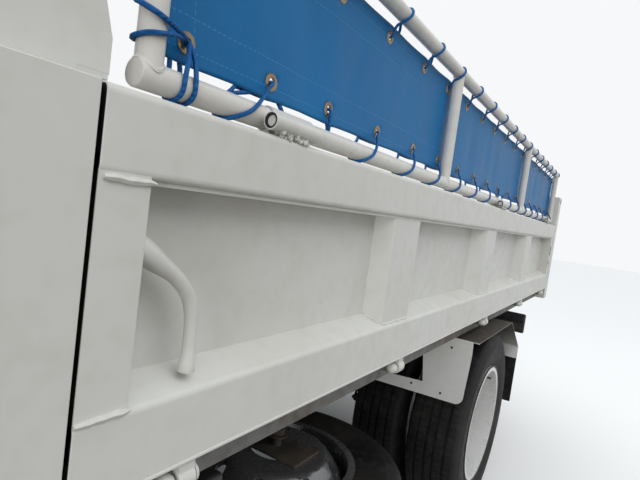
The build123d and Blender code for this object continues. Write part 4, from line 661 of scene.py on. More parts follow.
def bead(target, start, end, radius, seed):
    """A hand-laid weld bead: a lumpy ridge between two points."""
    draw = random.Random(seed)
    start, end = Vector(start), Vector(end)
    count = max(4, int((end - start).length / 0.007))
    points = [
        start.lerp(end, n / count) + Vector([draw.uniform(-0.0009, 0.0009) for _ in range(3)])
        for n in range(count + 1)
    ]
    taper = [0.45] + [draw.uniform(0.8, 1.18) for _ in range(count - 1)] + [0.45]
    tube(target, points, radius, sides=8, taper=taper, rings=3)


# Headboard: a sheet behind the cab between two box pillars, with a tube along its top
# and upright stiffeners, and wings that lean forward above the gates.
eased("headboard", BED_PAINT, 0.006, 4)
stiffeners = bmesh.new()
for y in (-0.42, 0.0, 0.42):
    block(stiffeners, (0.8375, 0.8418), about(y, 0.030), (0.862, 1.555))
    outline = [(0.8370, y - 0.030), (0.8245, y - 0.016), (0.8245, y + 0.016), (0.8370, y + 0.030)]
    bar(stiffeners, outline, "Z", 0.862, 1.556, 0.003, 2)
for name, sign in SIDES:
    bead(stiffeners, (0.8360, sign * 0.7885, 0.87), (0.8360, sign * 0.7885, 1.55), 0.004, 61)
    bead(stiffeners, (0.740, sign * 0.8215, 1.2465), (0.835, sign * 0.8215, 1.2465), 0.0036, 62)
    block(stiffeners, (0.7080, 0.7380), span(sign, 0.7905, 0.8198), (1.2512, 1.2620), 0.0008, 1)
    bead(stiffeners, (0.735, sign * 0.8505, 0.857), (0.838, sign * 0.8505, 0.857), 0.003, 63)
piece("headboard_stiffeners", stiffeners, BED_PAINT, "bed")

# Side gates: a box rail above and below, a recessed sheet between them, a post at
# each end and three folded ribs, all welded, with the catch's lever at the front.
SEAM_X = 0.732
GATE_Y = 0.850
IN_Y = 0.790
PANEL_Y = 0.804
LOW_Z = 0.856
TOP_Z = 1.246
GATE_FRONT = 0.727
GATE_REAR = -2.328
# Each rib: front edge of its face behind the seam, face width, spread of each flank.
RIBS = ((-0.656, 0.139, 0.016, 0.018), (-1.414, 0.139, 0.052, 0.040), (-2.181, 0.143, 0.052, 0.040))
# The lever: behind the seam, inboard of the face and above the gate's foot, with its radius.
LEVER = (
    (-0.058, -0.0165, 0.247, 0.0160), (-0.076, -0.0165, 0.2385, 0.0140), (-0.089, -0.0165, 0.2300, 0.0118),
    (-0.102, -0.0165, 0.2225, 0.0098), (-0.115, -0.0160, 0.2140, 0.0088), (-0.129, -0.0160, 0.2015, 0.0084),
    (-0.139, -0.0160, 0.1880, 0.0080), (-0.1440, -0.0160, 0.1710, 0.0077),
    (-0.1462, -0.0160, 0.1500, 0.0075), (-0.1468, -0.0160, 0.1310, 0.0078),
    (-0.1465, -0.0160, 0.1170, 0.0090), (-0.1462, -0.0160, 0.1080, 0.0104),
    (-0.1460, -0.0160, 0.1030, 0.0098),
)
GATE_PIN = (0.838, 0.832)


def rounded(outline, radius, steps=6):
    """The same outline with an arc in the place of each corner."""
    points = []
    for n, corner in enumerate(outline):
        corner = Vector(corner)
        ends = [Vector(outline[n - 1]), Vector(outline[(n + 1) % len(outline)])]
        start, end = [corner + (p - corner).normalized() * radius for p in ends]
        for step in range(steps + 1):
            share = step / steps
            points.append(tuple(start.lerp(corner, share).lerp(corner.lerp(end, share), share)))
    return points


GATE_HINGES = (-0.154, -0.785, -1.580, -2.280, -2.960)
SLEEVES = (-0.252, -1.544, -2.700)
PIPE_Y = 0.815
PIPE_LOW_Z = 1.269
# The short tube welded outboard of each sleeve: ahead of its front, across and up.
GUIDE = (0.024, 0.8450, 1.2620)
# Walls of a hinge's barrel, a sleeve, a guide tube and its dark bore: along, radius.
BARREL = (
    (-0.0125, 0.0082), (-0.0125, 0.0125), (-0.0105, 0.0145), (0.0105, 0.0145), (0.0125, 0.0125),
    (0.0125, 0.0082),
)
SLEEVE_WALL = (
    (-0.095, 0.0112), (-0.095, 0.0160), (-0.0945, 0.017), (-0.0005, 0.017), (0, 0.0160), (0, 0.0112),
)
GUIDE_WALL = (
    (-0.100, 0.0), (-0.100, 0.0108), (-0.0990, 0.0116), (-0.0010, 0.0116), (0, 0.0108), (0, 0.0100),
    (-0.0030, 0.0094), (-0.0030, 0.0),
)
GUIDE_BORE = ((-0.0030, 0.0068), (-0.0006, 0.0072), (-0.0006, 0.0100), (-0.0030, 0.0100))
WELD_LUMPS = 110
SHADOW_BLACK = painted("shadow_black", (0.008, 0.008, 0.008), 0.7, dust_share=0.02)
for side, sign in SIDES:
    gate = bmesh.new()
    rail = [(IN_Y, TOP_Z - 0.079), (GATE_Y, TOP_Z - 0.079), (GATE_Y, TOP_Z), (IN_Y, TOP_Z)]
    bar(gate, rounded(rail, 0.009), "X", GATE_REAR, GATE_FRONT, 0.0012, 1)
    fold = (TOP_Z - 0.0835, TOP_Z - 0.076)
    block(gate, (GATE_REAR + 0.004, GATE_FRONT - 0.004), (PANEL_Y, GATE_Y - 0.007), fold, 0.0012)
    sheet_y = (IN_Y + 0.0006, PANEL_Y)
    block(gate, (GATE_REAR + 0.002, GATE_FRONT - 0.002), sheet_y, (LOW_Z + 0.095, TOP_Z - 0.070), 0.001, 1)
    sill = [
        (IN_Y, LOW_Z), (GATE_Y, LOW_Z), (GATE_Y, LOW_Z + 0.085),
        (PANEL_Y, LOW_Z + 0.107), (IN_Y, LOW_Z + 0.107),
    ]
    bar(gate, rounded(sill, 0.006), "X", GATE_REAR, GATE_FRONT, 0.0012, 1)
    lip = (LOW_Z - 0.0005, LOW_Z + 0.0038)
    block(gate, (GATE_REAR, GATE_FRONT), (IN_Y + 0.012, GATE_Y + 0.0022), lip, 0.0015)
    for low, high in ((SEAM_X - 0.061, GATE_FRONT), (GATE_REAR, GATE_REAR + 0.061)):
        block(gate, (low, high), (IN_Y + 0.001, GATE_Y - 0.001), (LOW_Z + 0.05, TOP_Z - 0.06), 0.0018)
    for place, width, front, rear in RIBS:
        x = SEAM_X + place
        face_y = GATE_Y - 0.0075
        root_y = PANEL_Y - 0.002
        outline = [(x + front, root_y), (x, face_y), (x - width, face_y), (x - width - rear, root_y)]
        bar(gate, outline, "Z", LOW_Z + 0.07, TOP_Z - 0.07, 0.004, 3)
        foot = LOW_Z + 0.0893
        bead(gate, (x - 0.004, face_y + 0.0005, foot), (x - width + 0.004, face_y + 0.0005, foot), 0.0032, 21)
        flank = (x + front, PANEL_Y + 0.002, LOW_Z + 0.1075)
        bead(gate, flank, (x + 0.002, face_y - 0.003, LOW_Z + 0.091), 0.0025, 22)
    for x0, z0, x1, z1, radius, seed in (
        (SEAM_X - 0.010, TOP_Z - 0.081, SEAM_X - 0.064, TOP_Z - 0.081, 0.0042, 5),
        (SEAM_X - 0.006, LOW_Z + 0.086, SEAM_X - 0.062, LOW_Z + 0.0865, 0.0042, 6),
        (GATE_REAR + 0.005, LOW_Z + 0.086, GATE_REAR + 0.060, LOW_Z + 0.086, 0.0038, 7),
    ):
        bead(gate, (x0, GATE_Y - 0.0005, z0), (x1, GATE_Y - 0.0005, z1), radius, seed)
    lever = [(SEAM_X + x, GATE_Y + y, LOW_Z + z) for x, y, z, r in LEVER]
    tube(gate, lever, 0.01, sides=20, taper=[r / 0.01 for x, y, z, r in LEVER], rings=6)
    for place in GATE_HINGES:
        x = SEAM_X + place
        y, z = GATE_PIN
        turned(gate, BARREL, (x, y, z), "X", 24)
        block(gate, about(x, 0.012), (y - 0.011, y + 0.010), (z + 0.006, LOW_Z + 0.002), 0.002)
        bead(gate, (x - 0.015, y + 0.009, LOW_Z - 0.001), (x + 0.015, y + 0.009, LOW_Z - 0.001), 0.003, 31)
    for place in SLEEVES:
        x = SEAM_X + place
        turned(gate, SLEEVE_WALL, (x, PIPE_Y, PIPE_LOW_Z), "X", 32)
        neck_z = (TOP_Z - 0.003, PIPE_LOW_Z - 0.012)
        block(gate, (x - 0.094, x - 0.001), about(PIPE_Y, 0.007), neck_z, 0.001, 1)
        for y, seed in ((PIPE_Y + 0.011, 40), (PIPE_Y - 0.011, 41)):
            bead(gate, (x - 0.004, y, TOP_Z + 0.0015), (x - 0.092, y, TOP_Z + 0.0015), 0.0045, seed)
        turned(gate, GUIDE_WALL, (x + GUIDE[0], GUIDE[1], GUIDE[2]), "X", 28)
        draw = random.Random(47)
        for n in range(WELD_LUMPS):
            lump = bmesh.new()
            bmesh.ops.create_icosphere(lump, subdivisions=1, radius=draw.uniform(0.0020, 0.0038))
            for vert in lump.verts:
                vert.co *= draw.uniform(0.80, 1.15)
            across = draw.uniform(0.8385, 0.8510)
            up = TOP_Z + draw.uniform(-0.0010, 0.0105) * (1 - 60 * max(0, across - 0.8440))
            bmesh.ops.translate(lump, verts=lump.verts, vec=(x - draw.uniform(-0.003, 0.054), across, up))
            weld_on(gate, lump)
    piece(f"gate_steel_{side}", gate, BED_PAINT, f"side_gate_{side}", [f"side_gate_{side}"], sign < 0)
    dark = bmesh.new()
    for low, high, front in ((0.205, 0.262, -3.012), (0.150, 0.172, -3.008)):
        slot_x = (SEAM_X + front - 0.012, SEAM_X + front)
        block(dark, slot_x, (GATE_Y - 0.003, GATE_Y + 0.0004), (LOW_Z + low, LOW_Z + high), 0.0003, 1)
    for place in SLEEVES:
        turned(dark, GUIDE_BORE, (SEAM_X + place + GUIDE[0], GUIDE[1], GUIDE[2]), "X", 28)
    piece(f"gate_slots_{side}", dark, SHADOW_BLACK, f"side_gate_{side}", flipped=sign < 0)

# Sheet frames: 30 mm pipe brushed off-white, welded into a long low frame that folds on
# pins in the gate's sleeves. Thick paint has run at the welds and on the pipe's ends.
PIPE_PAINT = painted("pipe_paint", (0.62, 0.61, 0.575), 0.30, (0.34, 0.25, 0.16), 0.12, 0.7, grain=0.12)
PIPE_TOP_Z = 1.549
PIPE_FRONT = 0.680
PIPE_R = 0.0148
PIPE_REAR = -2.324
UPRIGHTS = (-0.068, -0.985, -2.045, -3.015)


def pipe_run(target, start, end, radius, centre, axis):
    """A length of pipe whose ends are plugged with weld, ground flat and painted over."""
    length = end - start
    wall = [
        (0, 0), (0.0002, radius * 0.5), (0.0001, radius * 0.86), (0.0008, radius * 0.95), (0.0026, radius),
        (length - 0.0026, radius), (length - 0.0008, radius * 0.95), (length - 0.0001, radius * 0.86),
        (length - 0.0002, radius * 0.5), (length, 0),
    ]
    foot = list(centre)
    foot["XYZ".index(axis)] = start
    turned(target, wall, foot, axis, 36)


for side, sign in SIDES:
    rails = bmesh.new()
    stops = [PIPE_FRONT]
    for place in SLEEVES:
        stops += [SEAM_X + place + 0.0015, SEAM_X + place - 0.0965]
    stops += [PIPE_REAR]
    for high, low in zip(stops[0::2], stops[1::2]):
        pipe_run(rails, low, high, PIPE_R, (0, PIPE_Y, PIPE_LOW_Z), "X")
    for high, low in zip(stops[1::2], stops[2::2]):
        pin = [(low, 0), (low, 0.0109), (high, 0.0109), (high, 0)]
        turned(rails, pin, (0, PIPE_Y, PIPE_LOW_Z), "X", 20)
    pipe_run(rails, PIPE_REAR, PIPE_FRONT, PIPE_R, (0, PIPE_Y, PIPE_TOP_Z), "X")
    for number, place in enumerate(UPRIGHTS):
        x = SEAM_X + place
        pipe_run(rails, PIPE_LOW_Z, PIPE_TOP_Z, PIPE_R - 0.0005, (x, PIPE_Y, 0), "Z")
        draw = random.Random(70 + number)
        for z, way in ((PIPE_LOW_Z, 1), (PIPE_TOP_Z, -1)):
            ring = []
            for n in range(26):
                u, v = 0.0134 * math.cos(n * math.pi / 12), 0.0134 * math.sin(n * math.pi / 12)
                ring.append((x + u, PIPE_Y + v, z + way * math.sqrt(0.0141 ** 2 - v ** 2)))
            tube(rails, ring, 0.0031, 10, taper=[draw.uniform(0.92, 1.06) for _ in ring], rings=3)
    node = f"sheet_frame_{side}"
    piece(f"frame_pipes_{side}", rails, PIPE_PAINT, node, [node], sign < 0)

# Blue sheets: coated woven sheeting laced to each frame, its edges turned in and sewn
# with two rows of pale thread, with brass eyelets along the top and bottom hems.
STITCH_ROWS = (0.0175, 0.0535, 0.1685, 0.2045)
STITCH_ENDS = (0.046, 2.910)
STITCH_STEP = 0.009


def sheeting(name, colour, deep):
    """Laminated woven plastic cloth: crossed tapes, faded patches and stitched hems."""
    material, tree, shader = skin(name)
    shader["Specular IOR Level"].default_value = 0.22
    where = shade(tree, "UVMap", {})
    u, v, _ = shade(tree, "SeparateXYZ", {0: where}).node.outputs

    def work(operation, a, b=0.5):
        return maths(tree, operation, a, b)

    tapes = work("MULTIPLY", work("SINE", work("MULTIPLY", u, 2600)), work("SINE", work("MULTIPLY", v, 2600)))
    cloud = shade(tree, "TexNoise", {"Scale": 5, "Detail": 7, "Vector": where}, "Fac")
    cloth = blended(tree, spread(tree, cloud, 0.35, 0.72), deep, colour)
    seen = 0.0
    for across, along, places in ((v, u, STITCH_ROWS), (u, v, STITCH_ENDS)):
        dash = work("GREATER_THAN", work("FRACT", work("DIVIDE", along, STITCH_STEP)), 0.38)
        for place in places:
            near = work("LESS_THAN", work("ABSOLUTE", work("SUBTRACT", across, place)), 0.0006)
            seen = work("MAXIMUM", seen, work("MULTIPLY", near, dash))
    tree.links.new(blended(tree, seen, cloth, (0.035, 0.22, 0.44)), shader["Base Color"])
    tree.links.new(spread(tree, cloud, 0, 1, 0.36, 0.58), shader["Roughness"])
    hem = work("MAXIMUM", work("LESS_THAN", v, 0.0555), work("GREATER_THAN", v, 0.1665))
    hem = work("MAXIMUM", hem, work("LESS_THAN", u, 0.048))
    creases = {"Scale": 22, "Detail": 5, "Roughness": 0.6, "Vector": where}
    under = relief(tree, shade(tree, "TexNoise", creases, "Fac"), 0.35, 0.003)
    for height, strength, depth in ((hem, 0.8, 0.0007), (tapes, 0.20, 0.0003), (seen, 0.5, 0.0006)):
        under = relief(tree, height, strength, depth, under)
    tree.links.new(under, shader["Normal"])
    return material


SHEET_LENGTH = 2.956
SHEET_HEIGHT = 0.2295
SHEET_FRONT = 0.644
SHEET_LOW = 1.2985
SHEET_Y = 0.7965
# Distances of the eyelets behind the sheet's front edge, and of each row above its foot.
EYELETS = (
    0.039, 0.190, 0.340, 0.522, 0.710, 0.880, 1.055, 1.228, 1.400, 1.572, 1.745, 1.917, 2.090, 2.262, 2.435,
    2.607, 2.780, 2.925,
)
EYELET_LOW = 0.0245
EYELET_HIGH = 0.2055
BLUE_SHEET = sheeting("blue_sheet", (0.005, 0.150, 0.375), (0.003, 0.122, 0.320))
BRASS = painted(
    "eyelet_brass", (0.30, 0.22, 0.13), rough=0.38, dust=(0.05, 0.04, 0.03), dust_share=0.45, wave=0.1,
    metal=0.85, grain=0.2,
)
# An eyelet's rolled wall: out of the cloth, radius.
EYELET_WALL = (
    (-0.0018, 0.0062), (0.0006, 0.0058), (0.0018, 0.0066), (0.0022, 0.0085), (0.0018, 0.0110),
    (0.0006, 0.0124), (0.0002, 0.0125), (-0.0012, 0.0125), (-0.0022, 0.0110), (-0.0026, 0.0085),
)
# Where the cloth's mesh has its lines: every step along it, and these heights up it.
COLUMN_STEP = 0.014
ROWS = (
    0, 0.006, 0.012, EYELET_LOW - 0.007, EYELET_LOW + 0.007, 0.042, 0.0535, 0.068, 0.084, 0.100, 0.116, 0.132,
    0.146, 0.158, 0.1685, 0.182, EYELET_HIGH - 0.007, EYELET_HIGH + 0.007, 0.2215, SHEET_HEIGHT,
)


def sag(along, up):
    """How far the cloth stands in from its straight plane, in metres."""
    nearest = min(abs(along - e) for e in EYELETS)
    free = min(1, nearest / 0.07)
    belly = math.sin(math.pi * min(1, max(0, (up - 0.0125) / 0.20)))
    wave = 0.5 + 0.5 * math.sin(along * 17.3 + 1.9 * math.sin(along * 5.1) + up * 6)
    fine = 0.5 + 0.5 * math.sin(along * 61 + 3 * math.sin(along * 13) - up * 21)
    return free * (0.0040 * belly * wave + 0.0012 * belly * fine + 0.0016 * (1 - belly) * wave)


def scallop(along, up):
    """How far the cloth's foot and head draw in between two eyelets."""
    nearest = min(abs(along - e) for e in EYELETS)
    slack = 0.0022 * min(1, nearest / 0.075) ** 0.8
    foot = max(0, 1 - up / 0.024)
    head = max(0, 1 - (SHEET_HEIGHT - up) / 0.024)
    return slack * (foot - head)


def drawn(along, up):
    """How far the lacing pulls the sheet's front corner back."""
    return 0.013 * max(0, 1 - along / 0.10) * max(0, 1 - up / 0.07)


columns = [round(n * COLUMN_STEP, 4) for n in range(int(SHEET_LENGTH / COLUMN_STEP) + 1)] + [SHEET_LENGTH]
for eyelet in EYELETS:
    columns = [c for c in columns if abs(c - eyelet) > 0.012 or c in (0.0, SHEET_LENGTH)]
    columns += about(eyelet, 0.007)
columns = sorted(set(columns))


def on_cloth(vert):
    """How far behind the sheet's front edge and above its foot a corner of the grid lies."""
    column = round((vert.co.x + 0.5) * (len(columns) - 1))
    row = round((vert.co.y + 0.5) * (len(ROWS) - 1))
    return columns[column], ROWS[row]


for side, sign in SIDES:
    cloth = bmesh.new()
    bmesh.ops.create_grid(cloth, x_segments=len(columns) - 1, y_segments=len(ROWS) - 1, size=0.5)
    weave = cloth.loops.layers.uv.new("weave")
    for face in cloth.faces:
        for corner in face.loops:
            corner[weave].uv = on_cloth(corner.vert)
    for vert in cloth.verts:
        along, up = on_cloth(vert)
        x = SHEET_FRONT - along - drawn(along, up)
        vert.co = (x, SHEET_Y - sag(along, up), SHEET_LOW + up + scallop(along, up))
    holes = []
    for face in cloth.faces:
        middle = face.calc_center_median()
        for along in EYELETS:
            for up in (EYELET_LOW, EYELET_HIGH):
                if abs(SHEET_FRONT - along - middle.x) < 0.004 and abs(SHEET_LOW + up - middle.z) < 0.004:
                    holes.append(face)
    bmesh.ops.delete(cloth, geom=holes, context="FACES")
    bmesh.ops.recalc_face_normals(cloth, faces=cloth.faces)
    flipped = sign < 0
    if flipped:
        bmesh.ops.scale(cloth, verts=cloth.verts, vec=(1, -1, 1))
        bmesh.ops.reverse_faces(cloth, faces=cloth.faces)
    for face in cloth.faces:
        face.smooth = True
    outward = sum(f.normal.y for f in cloth.faces)
    if outward * sign < 0:
        bmesh.ops.reverse_faces(cloth, faces=cloth.faces)
    mesh = bpy.data.meshes.new(f"blue_sheet_{side}")
    cloth.to_mesh(mesh)
    cloth.free()
    mesh.materials.append(BLUE_SHEET)
    sheet = bpy.data.objects.new(f"blue_sheet_{side}", mesh)
    bpy.context.scene.collection.objects.link(sheet)
    wall = sheet.modifiers.new("cloth_thickness", "SOLIDIFY")
    wall.thickness = 0.0012
    wall.offset = -1
    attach(sheet, f"sheet_frame_{side}")
    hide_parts(f"side_sheet_{side}")
    rings = bmesh.new()
    for along in EYELETS:
        for up in (EYELET_LOW, EYELET_HIGH):
            place = (SHEET_FRONT - along, SHEET_Y - sag(along, up), SHEET_LOW + up)
            turned(rings, EYELET_WALL, place, "Y", 28)
    rings_made = piece(f"eyelets_{side}", rings, BRASS, f"sheet_frame_{side}", flipped=flipped, crisp=60)
    # The front hem is turned back and sewn, so its corner is double and stands proud.
    fold = bmesh.new()
    fold_y = (SHEET_Y - 0.0062, SHEET_Y - 0.0030)
    fold_z = (SHEET_LOW + 0.004, SHEET_LOW + SHEET_HEIGHT - 0.004)
    block(fold, (SHEET_FRONT - 0.060, SHEET_FRONT - 0.0015), fold_y, fold_z, 0.0012)
    hem_uv = fold.loops.layers.uv.new("weave")
    for face in fold.faces:
        for corner in face.loops:
            corner[hem_uv].uv = (SHEET_FRONT - corner.vert.co.x + 0.02, corner.vert.co.z - SHEET_LOW)
    folded = piece(f"sheet_fold_{side}", fold, BLUE_SHEET, f"sheet_frame_{side}", flipped=flipped)

# Lacing: a thin blue twisted rope runs along each edge of a sheet, out through each eyelet,
# round the pipe and back behind the cloth. It is drawn tight but for two short tails.
def ridged(material, scale, direction, strength, depth, distortion=0.0):
    """Lays fine parallel ridges over the material's own relief."""
    tree = material.node_tree
    inputs = {"Scale": scale, "Distortion": distortion, "Vector": shade(tree, "TexCoord", {}, "Object")}
    wave = shade(tree, "TexWave", inputs, "Fac", bands_direction=direction)
    emboss(material, wave, strength, depth)


ROPE_BLUE = painted(
    "rope_blue", (0.003, 0.090, 0.285), rough=0.50, dust=(0.002, 0.040, 0.140), dust_share=0.18, wave=0.1,
    grain=0.6, extra={"Specular IOR Level": 0.25},
)
ridged(ROPE_BLUE, 80, "DIAGONAL", 0.7, 0.0014, 0.4)
ROPE_R = 0.0028
# A turn round the low pipe: step forward of the eyelet, distance outboard of the pipe's
# axis and height above it, from the eyelet down, under the pipe and up behind it.
LOW_TURN = (
    (0.0120, -0.0110, 0.0430), (0.0350, 0.0040, 0.0290), (0.0580, 0.0149, 0.0105),
    (0.0720, 0.0179, -0.0009), (0.0860, 0.0153, -0.0096), (0.0980, 0.0079, -0.0162),
    (0.1060, -0.0035, -0.0175), (0.1060, -0.0149, -0.0096), (0.0980, -0.0180, 0.0026),
    (0.0880, -0.0182, 0.0131), (0.0760, -0.0180, 0.0225), (0.0690, -0.0205, 0.0282),
    (0.0620, -0.0250, 0.0330),
)
# Beside a gate sleeve the rope only goes under the cloth's foot and up behind it.
TUCKED = (0.340, 1.572, 2.780)
SHORT_TURN = (
    (0.0010, -0.0130, 0.0430), (0.0000, -0.0125, 0.0320), (-0.0010, -0.0130, 0.0210),
    (-0.0025, -0.0160, 0.0150), (-0.0045, -0.0188, 0.0195), (-0.0060, -0.0205, 0.0280),
    (-0.0080, -0.0245, 0.0335),
)
HIGH_TURN = (
    (0.0020, -0.0079, -0.0236), (0.0000, 0.0053, -0.0188), (-0.0060, 0.0158, -0.0088),
    (-0.0140, 0.0175, 0.0035), (-0.0220, 0.0088, 0.0158), (-0.0280, -0.0053, 0.0175),
    (-0.0340, -0.0158, 0.0079), (-0.0400, -0.0192, -0.0070), (-0.0500, -0.0250, -0.0220),
)
# Turns that hold the front corner: a lashing that comes down from the upright, one turn
# round it, and two round the low pipe, each out through the first eyelet.
LASHING = (
    (0.6518, 0.7944, 1.3450), (0.6675, 0.7971, 1.3420), (0.6789, 0.8036, 1.3380), (0.6822, 0.8146, 1.3340),
    (0.6776, 0.8272, 1.3280), (0.6684, 0.8329, 1.3240), (0.6518, 0.8307, 1.3210), (0.6250, 0.8130, 1.3240),
)
UPRIGHT_TURN = (
    (0.6230, 0.8090, 1.3220), (0.6448, 0.8272, 1.3145), (0.6570, 0.8321, 1.3105), (0.6675, 0.8332, 1.3080),
    (0.6771, 0.8281, 1.3060), (0.6822, 0.8167, 1.3030), (0.6789, 0.8032, 1.3020), (0.6666, 0.7971, 1.3040),
    (0.6500, 0.7944, 1.3100), (0.6250, 0.7900, 1.3180),
)
PIPE_TURNS = (
    (
        (0.6130, 0.8110, 1.3130), (0.6240, 0.8255, 1.2960), (0.6315, 0.8321, 1.2751),
        (0.6315, 0.8312, 1.2611), (0.6330, 0.8237, 1.2532), (0.6330, 0.8106, 1.2515),
        (0.6310, 0.7993, 1.2594), (0.6280, 0.7972, 1.2716), (0.6250, 0.7974, 1.2890),
        (0.6230, 0.7945, 1.2972), (0.6205, 0.7905, 1.3030),
    ),
    (
        (0.6070, 0.8110, 1.3110), (0.6130, 0.8245, 1.2960), (0.6165, 0.8321, 1.2760),
        (0.6160, 0.8312, 1.2611), (0.6175, 0.8237, 1.2532), (0.6175, 0.8106, 1.2515),
        (0.6150, 0.7993, 1.2594), (0.6120, 0.7972, 1.2716), (0.6100, 0.7974, 1.2890),
        (0.6090, 0.7945, 1.2972), (0.6080, 0.7905, 1.3030),
    ),
)
# Tails of the lacing that hang down behind the cloth's foot.
SLACK = (
    ((0.5335, 0.7958, 1.2874), (0.5040, 0.7947, 1.2965), (0.4756, 0.7905, 1.3046)),
    ((0.4202, 0.7958, 1.2880), (0.4245, 0.7947, 1.2965), (0.4295, 0.7905, 1.3045)),
)
for side, sign in SIDES:
    lacing = bmesh.new()
    for row, pipe_z, turn in ((EYELET_LOW, PIPE_LOW_Z, LOW_TURN), (EYELET_HIGH, PIPE_TOP_Z, HIGH_TURN)):
        line = []
        for number, along in enumerate(EYELETS):
            x, z = SHEET_FRONT - along, SHEET_LOW + row
            through = [(x, SHEET_Y - 0.0065, z), (x, SHEET_Y + 0.0055, z)]
            if number == 0 and turn is LOW_TURN:
                line += [*LASHING, (x, SHEET_Y + 0.004, z), (x, SHEET_Y - 0.0065, z), *through]
                line += [*UPRIGHT_TURN, *through, *PIPE_TURNS[0], *through, *PIPE_TURNS[1]]
                continue
            line += through
            path = SHORT_TURN if along in TUCKED and turn is LOW_TURN else turn
            line += [(x + step, PIPE_Y + out, pipe_z + up) for step, out, up in path]
            line.append((x - 0.020, SHEET_Y - 0.0085 - sag(along + 0.02, row), z - 0.4 * (z - pipe_z)))
        tube(lacing, line, ROPE_R, 10, rings=5)
    for tail in SLACK:
        tube(lacing, list(tail), ROPE_R * 1.14, 10, rings=3)
    piece(f"lacing_{side}", lacing, ROPE_BLUE, f"sheet_frame_{side}", flipped=sign < 0, crisp=80)

# Rear pillars and tailgate: the board hangs from two arms on the pillars' top pins and
# is held shut below by hooks, and both are welded from the same sheet as the sides.
eased("rear_pillars", BED_PAINT, 0.006, 4)
eased("tailgate", BED_PAINT, 0.0035, 3)
HOOK_BEND = (
    (-2.440, 0.819, 0.945), (-2.451, 0.812, 0.950), (-2.459, 0.795, 0.945), (-2.4605, 0.775, 0.930),
    (-2.457, 0.762, 0.910),
)


def sided(sign, points):
    """The same points on the side that sign picks."""
    return [(x, sign * y, z) for x, y, z in points]


hooks = bmesh.new()
cap = [(0, 0), (0, 0.0145), (0.003, 0.0185), (0.008, 0.0185), (0.010, 0.0150), (0.010, 0)]
for name, sign in SIDES:
    turned(hooks, [(sign * (a - 0.010), r) for a, r in cap], (-2.4175, sign * 0.850, 1.399), "Y", 32)
    bead(hooks, (-2.3365, sign * 0.8215, 0.858), (-2.3365, sign * 0.8215, 1.41), 0.003, 91)
    block(hooks, (-2.447, -2.4315), span(sign, 0.800, 0.838), (0.905, 0.962), 0.002)
    tube(hooks, sided(sign, HOOK_BEND), 0.0065, 14, rings=5)
piece("tail_hooks", hooks, BED_PAINT, "bed")

# Gate hinges: the rings on the underframe that carry each hinge pin, with the pin's flat
# rear end and the ball knob on its front end.
hinge_ends = bmesh.new()
ring = [(-0.002, 0.0085), (-0.002, 0.0125), (0.002, 0.0125), (0.002, 0.0085)]
pin_end = [(0, 0), (0, 0.0078), (-0.004, 0.0070), (-0.006, 0.0045), (-0.006, 0)]
knob = [(0, 0), (0, 0.0085), (0.005, 0.0115), (0.012, 0.0120), (0.019, 0.0085), (0.022, 0.0035), (0.022, 0)]
for name, sign in SIDES:
    for place in GATE_HINGES:
        x, y, z = SEAM_X + place, sign * GATE_PIN[0], GATE_PIN[1]
        turned(hinge_ends, ring, (x - 0.0155, y, z), "X", 20)
        turned(hinge_ends, pin_end, (x - 0.018, y, z), "X", 16)
        turned(hinge_ends, knob, (x + 0.0155, y, z), "X", 20)
piece("hinge_rings", hinge_ends, BED_PAINT, "bed")

# Tail lamps: a red moulded lens with ribs and a clear reversing window, in a black tray.
def lens(name, colour):
    """Moulded lamp plastic with fine prisms inside."""
    coat = {"Coat Weight": 0.6}
    material = painted(name, colour, 0.12, dust_share=0.05, wave=0.05, grain=0.05, extra=coat)
    ridged(material, 70, "Z", 0.5, 0.002)
    return material


LAMP_RED = lens("lamp_red", (0.36, 0.012, 0.010))
LAMP_AMBER = lens("lamp_amber", (0.62, 0.19, 0.015))
LAMP_CLEAR = lens("lamp_clear", (0.62, 0.64, 0.64))
for name, sign in SIDES:
    tray = bmesh.new()
    block(tray, (-2.1215, -2.0960), span(sign, 0.560, 0.800), (0.586, 0.700), 0.010, 3)
    piece(f"lamp_tray_{name}", tray, BLACK_PLASTIC, "chassis", ["tail_lamps"])
    for use, low, high, plastic in (
        ("stop", 0.566, 0.638, LAMP_RED),
        ("turn", 0.641, 0.718, LAMP_AMBER),
        ("reverse", 0.721, 0.794, LAMP_CLEAR),
    ):
        glass = bmesh.new()
        block(glass, (-2.1378, -2.1195), span(sign, low, high), (0.592, 0.694), 0.009, 4)
        piece(f"{use}_lens_{name}", glass, plastic, "chassis")

# Rear plate: a blank pressed sheet on two bolts under the rear bar.
plate_steel = bmesh.new()
block(plate_steel, (-2.1432, -2.1400), (-0.165, 0.165), (0.440, 0.512), 0.0010, 2)
block(plate_steel, (-2.1450, -2.1430), (-0.158, 0.158), (0.447, 0.505), 0.0008, 1)
head = [(0, 0), (0, 0.006), (-0.0025, 0.006), (-0.004, 0.003), (-0.004, 0)]
for y in (-0.12, 0.12):
    turned(plate_steel, head, (-2.1448, y, 0.497), "X", 12)
PLATE_PAINT = painted(
    "plate_paint", (0.62, 0.62, 0.60), rough=0.35, dust_share=0.20, wave=0.2,
)
piece("rear_plate", plate_steel, PLATE_PAINT, "chassis")

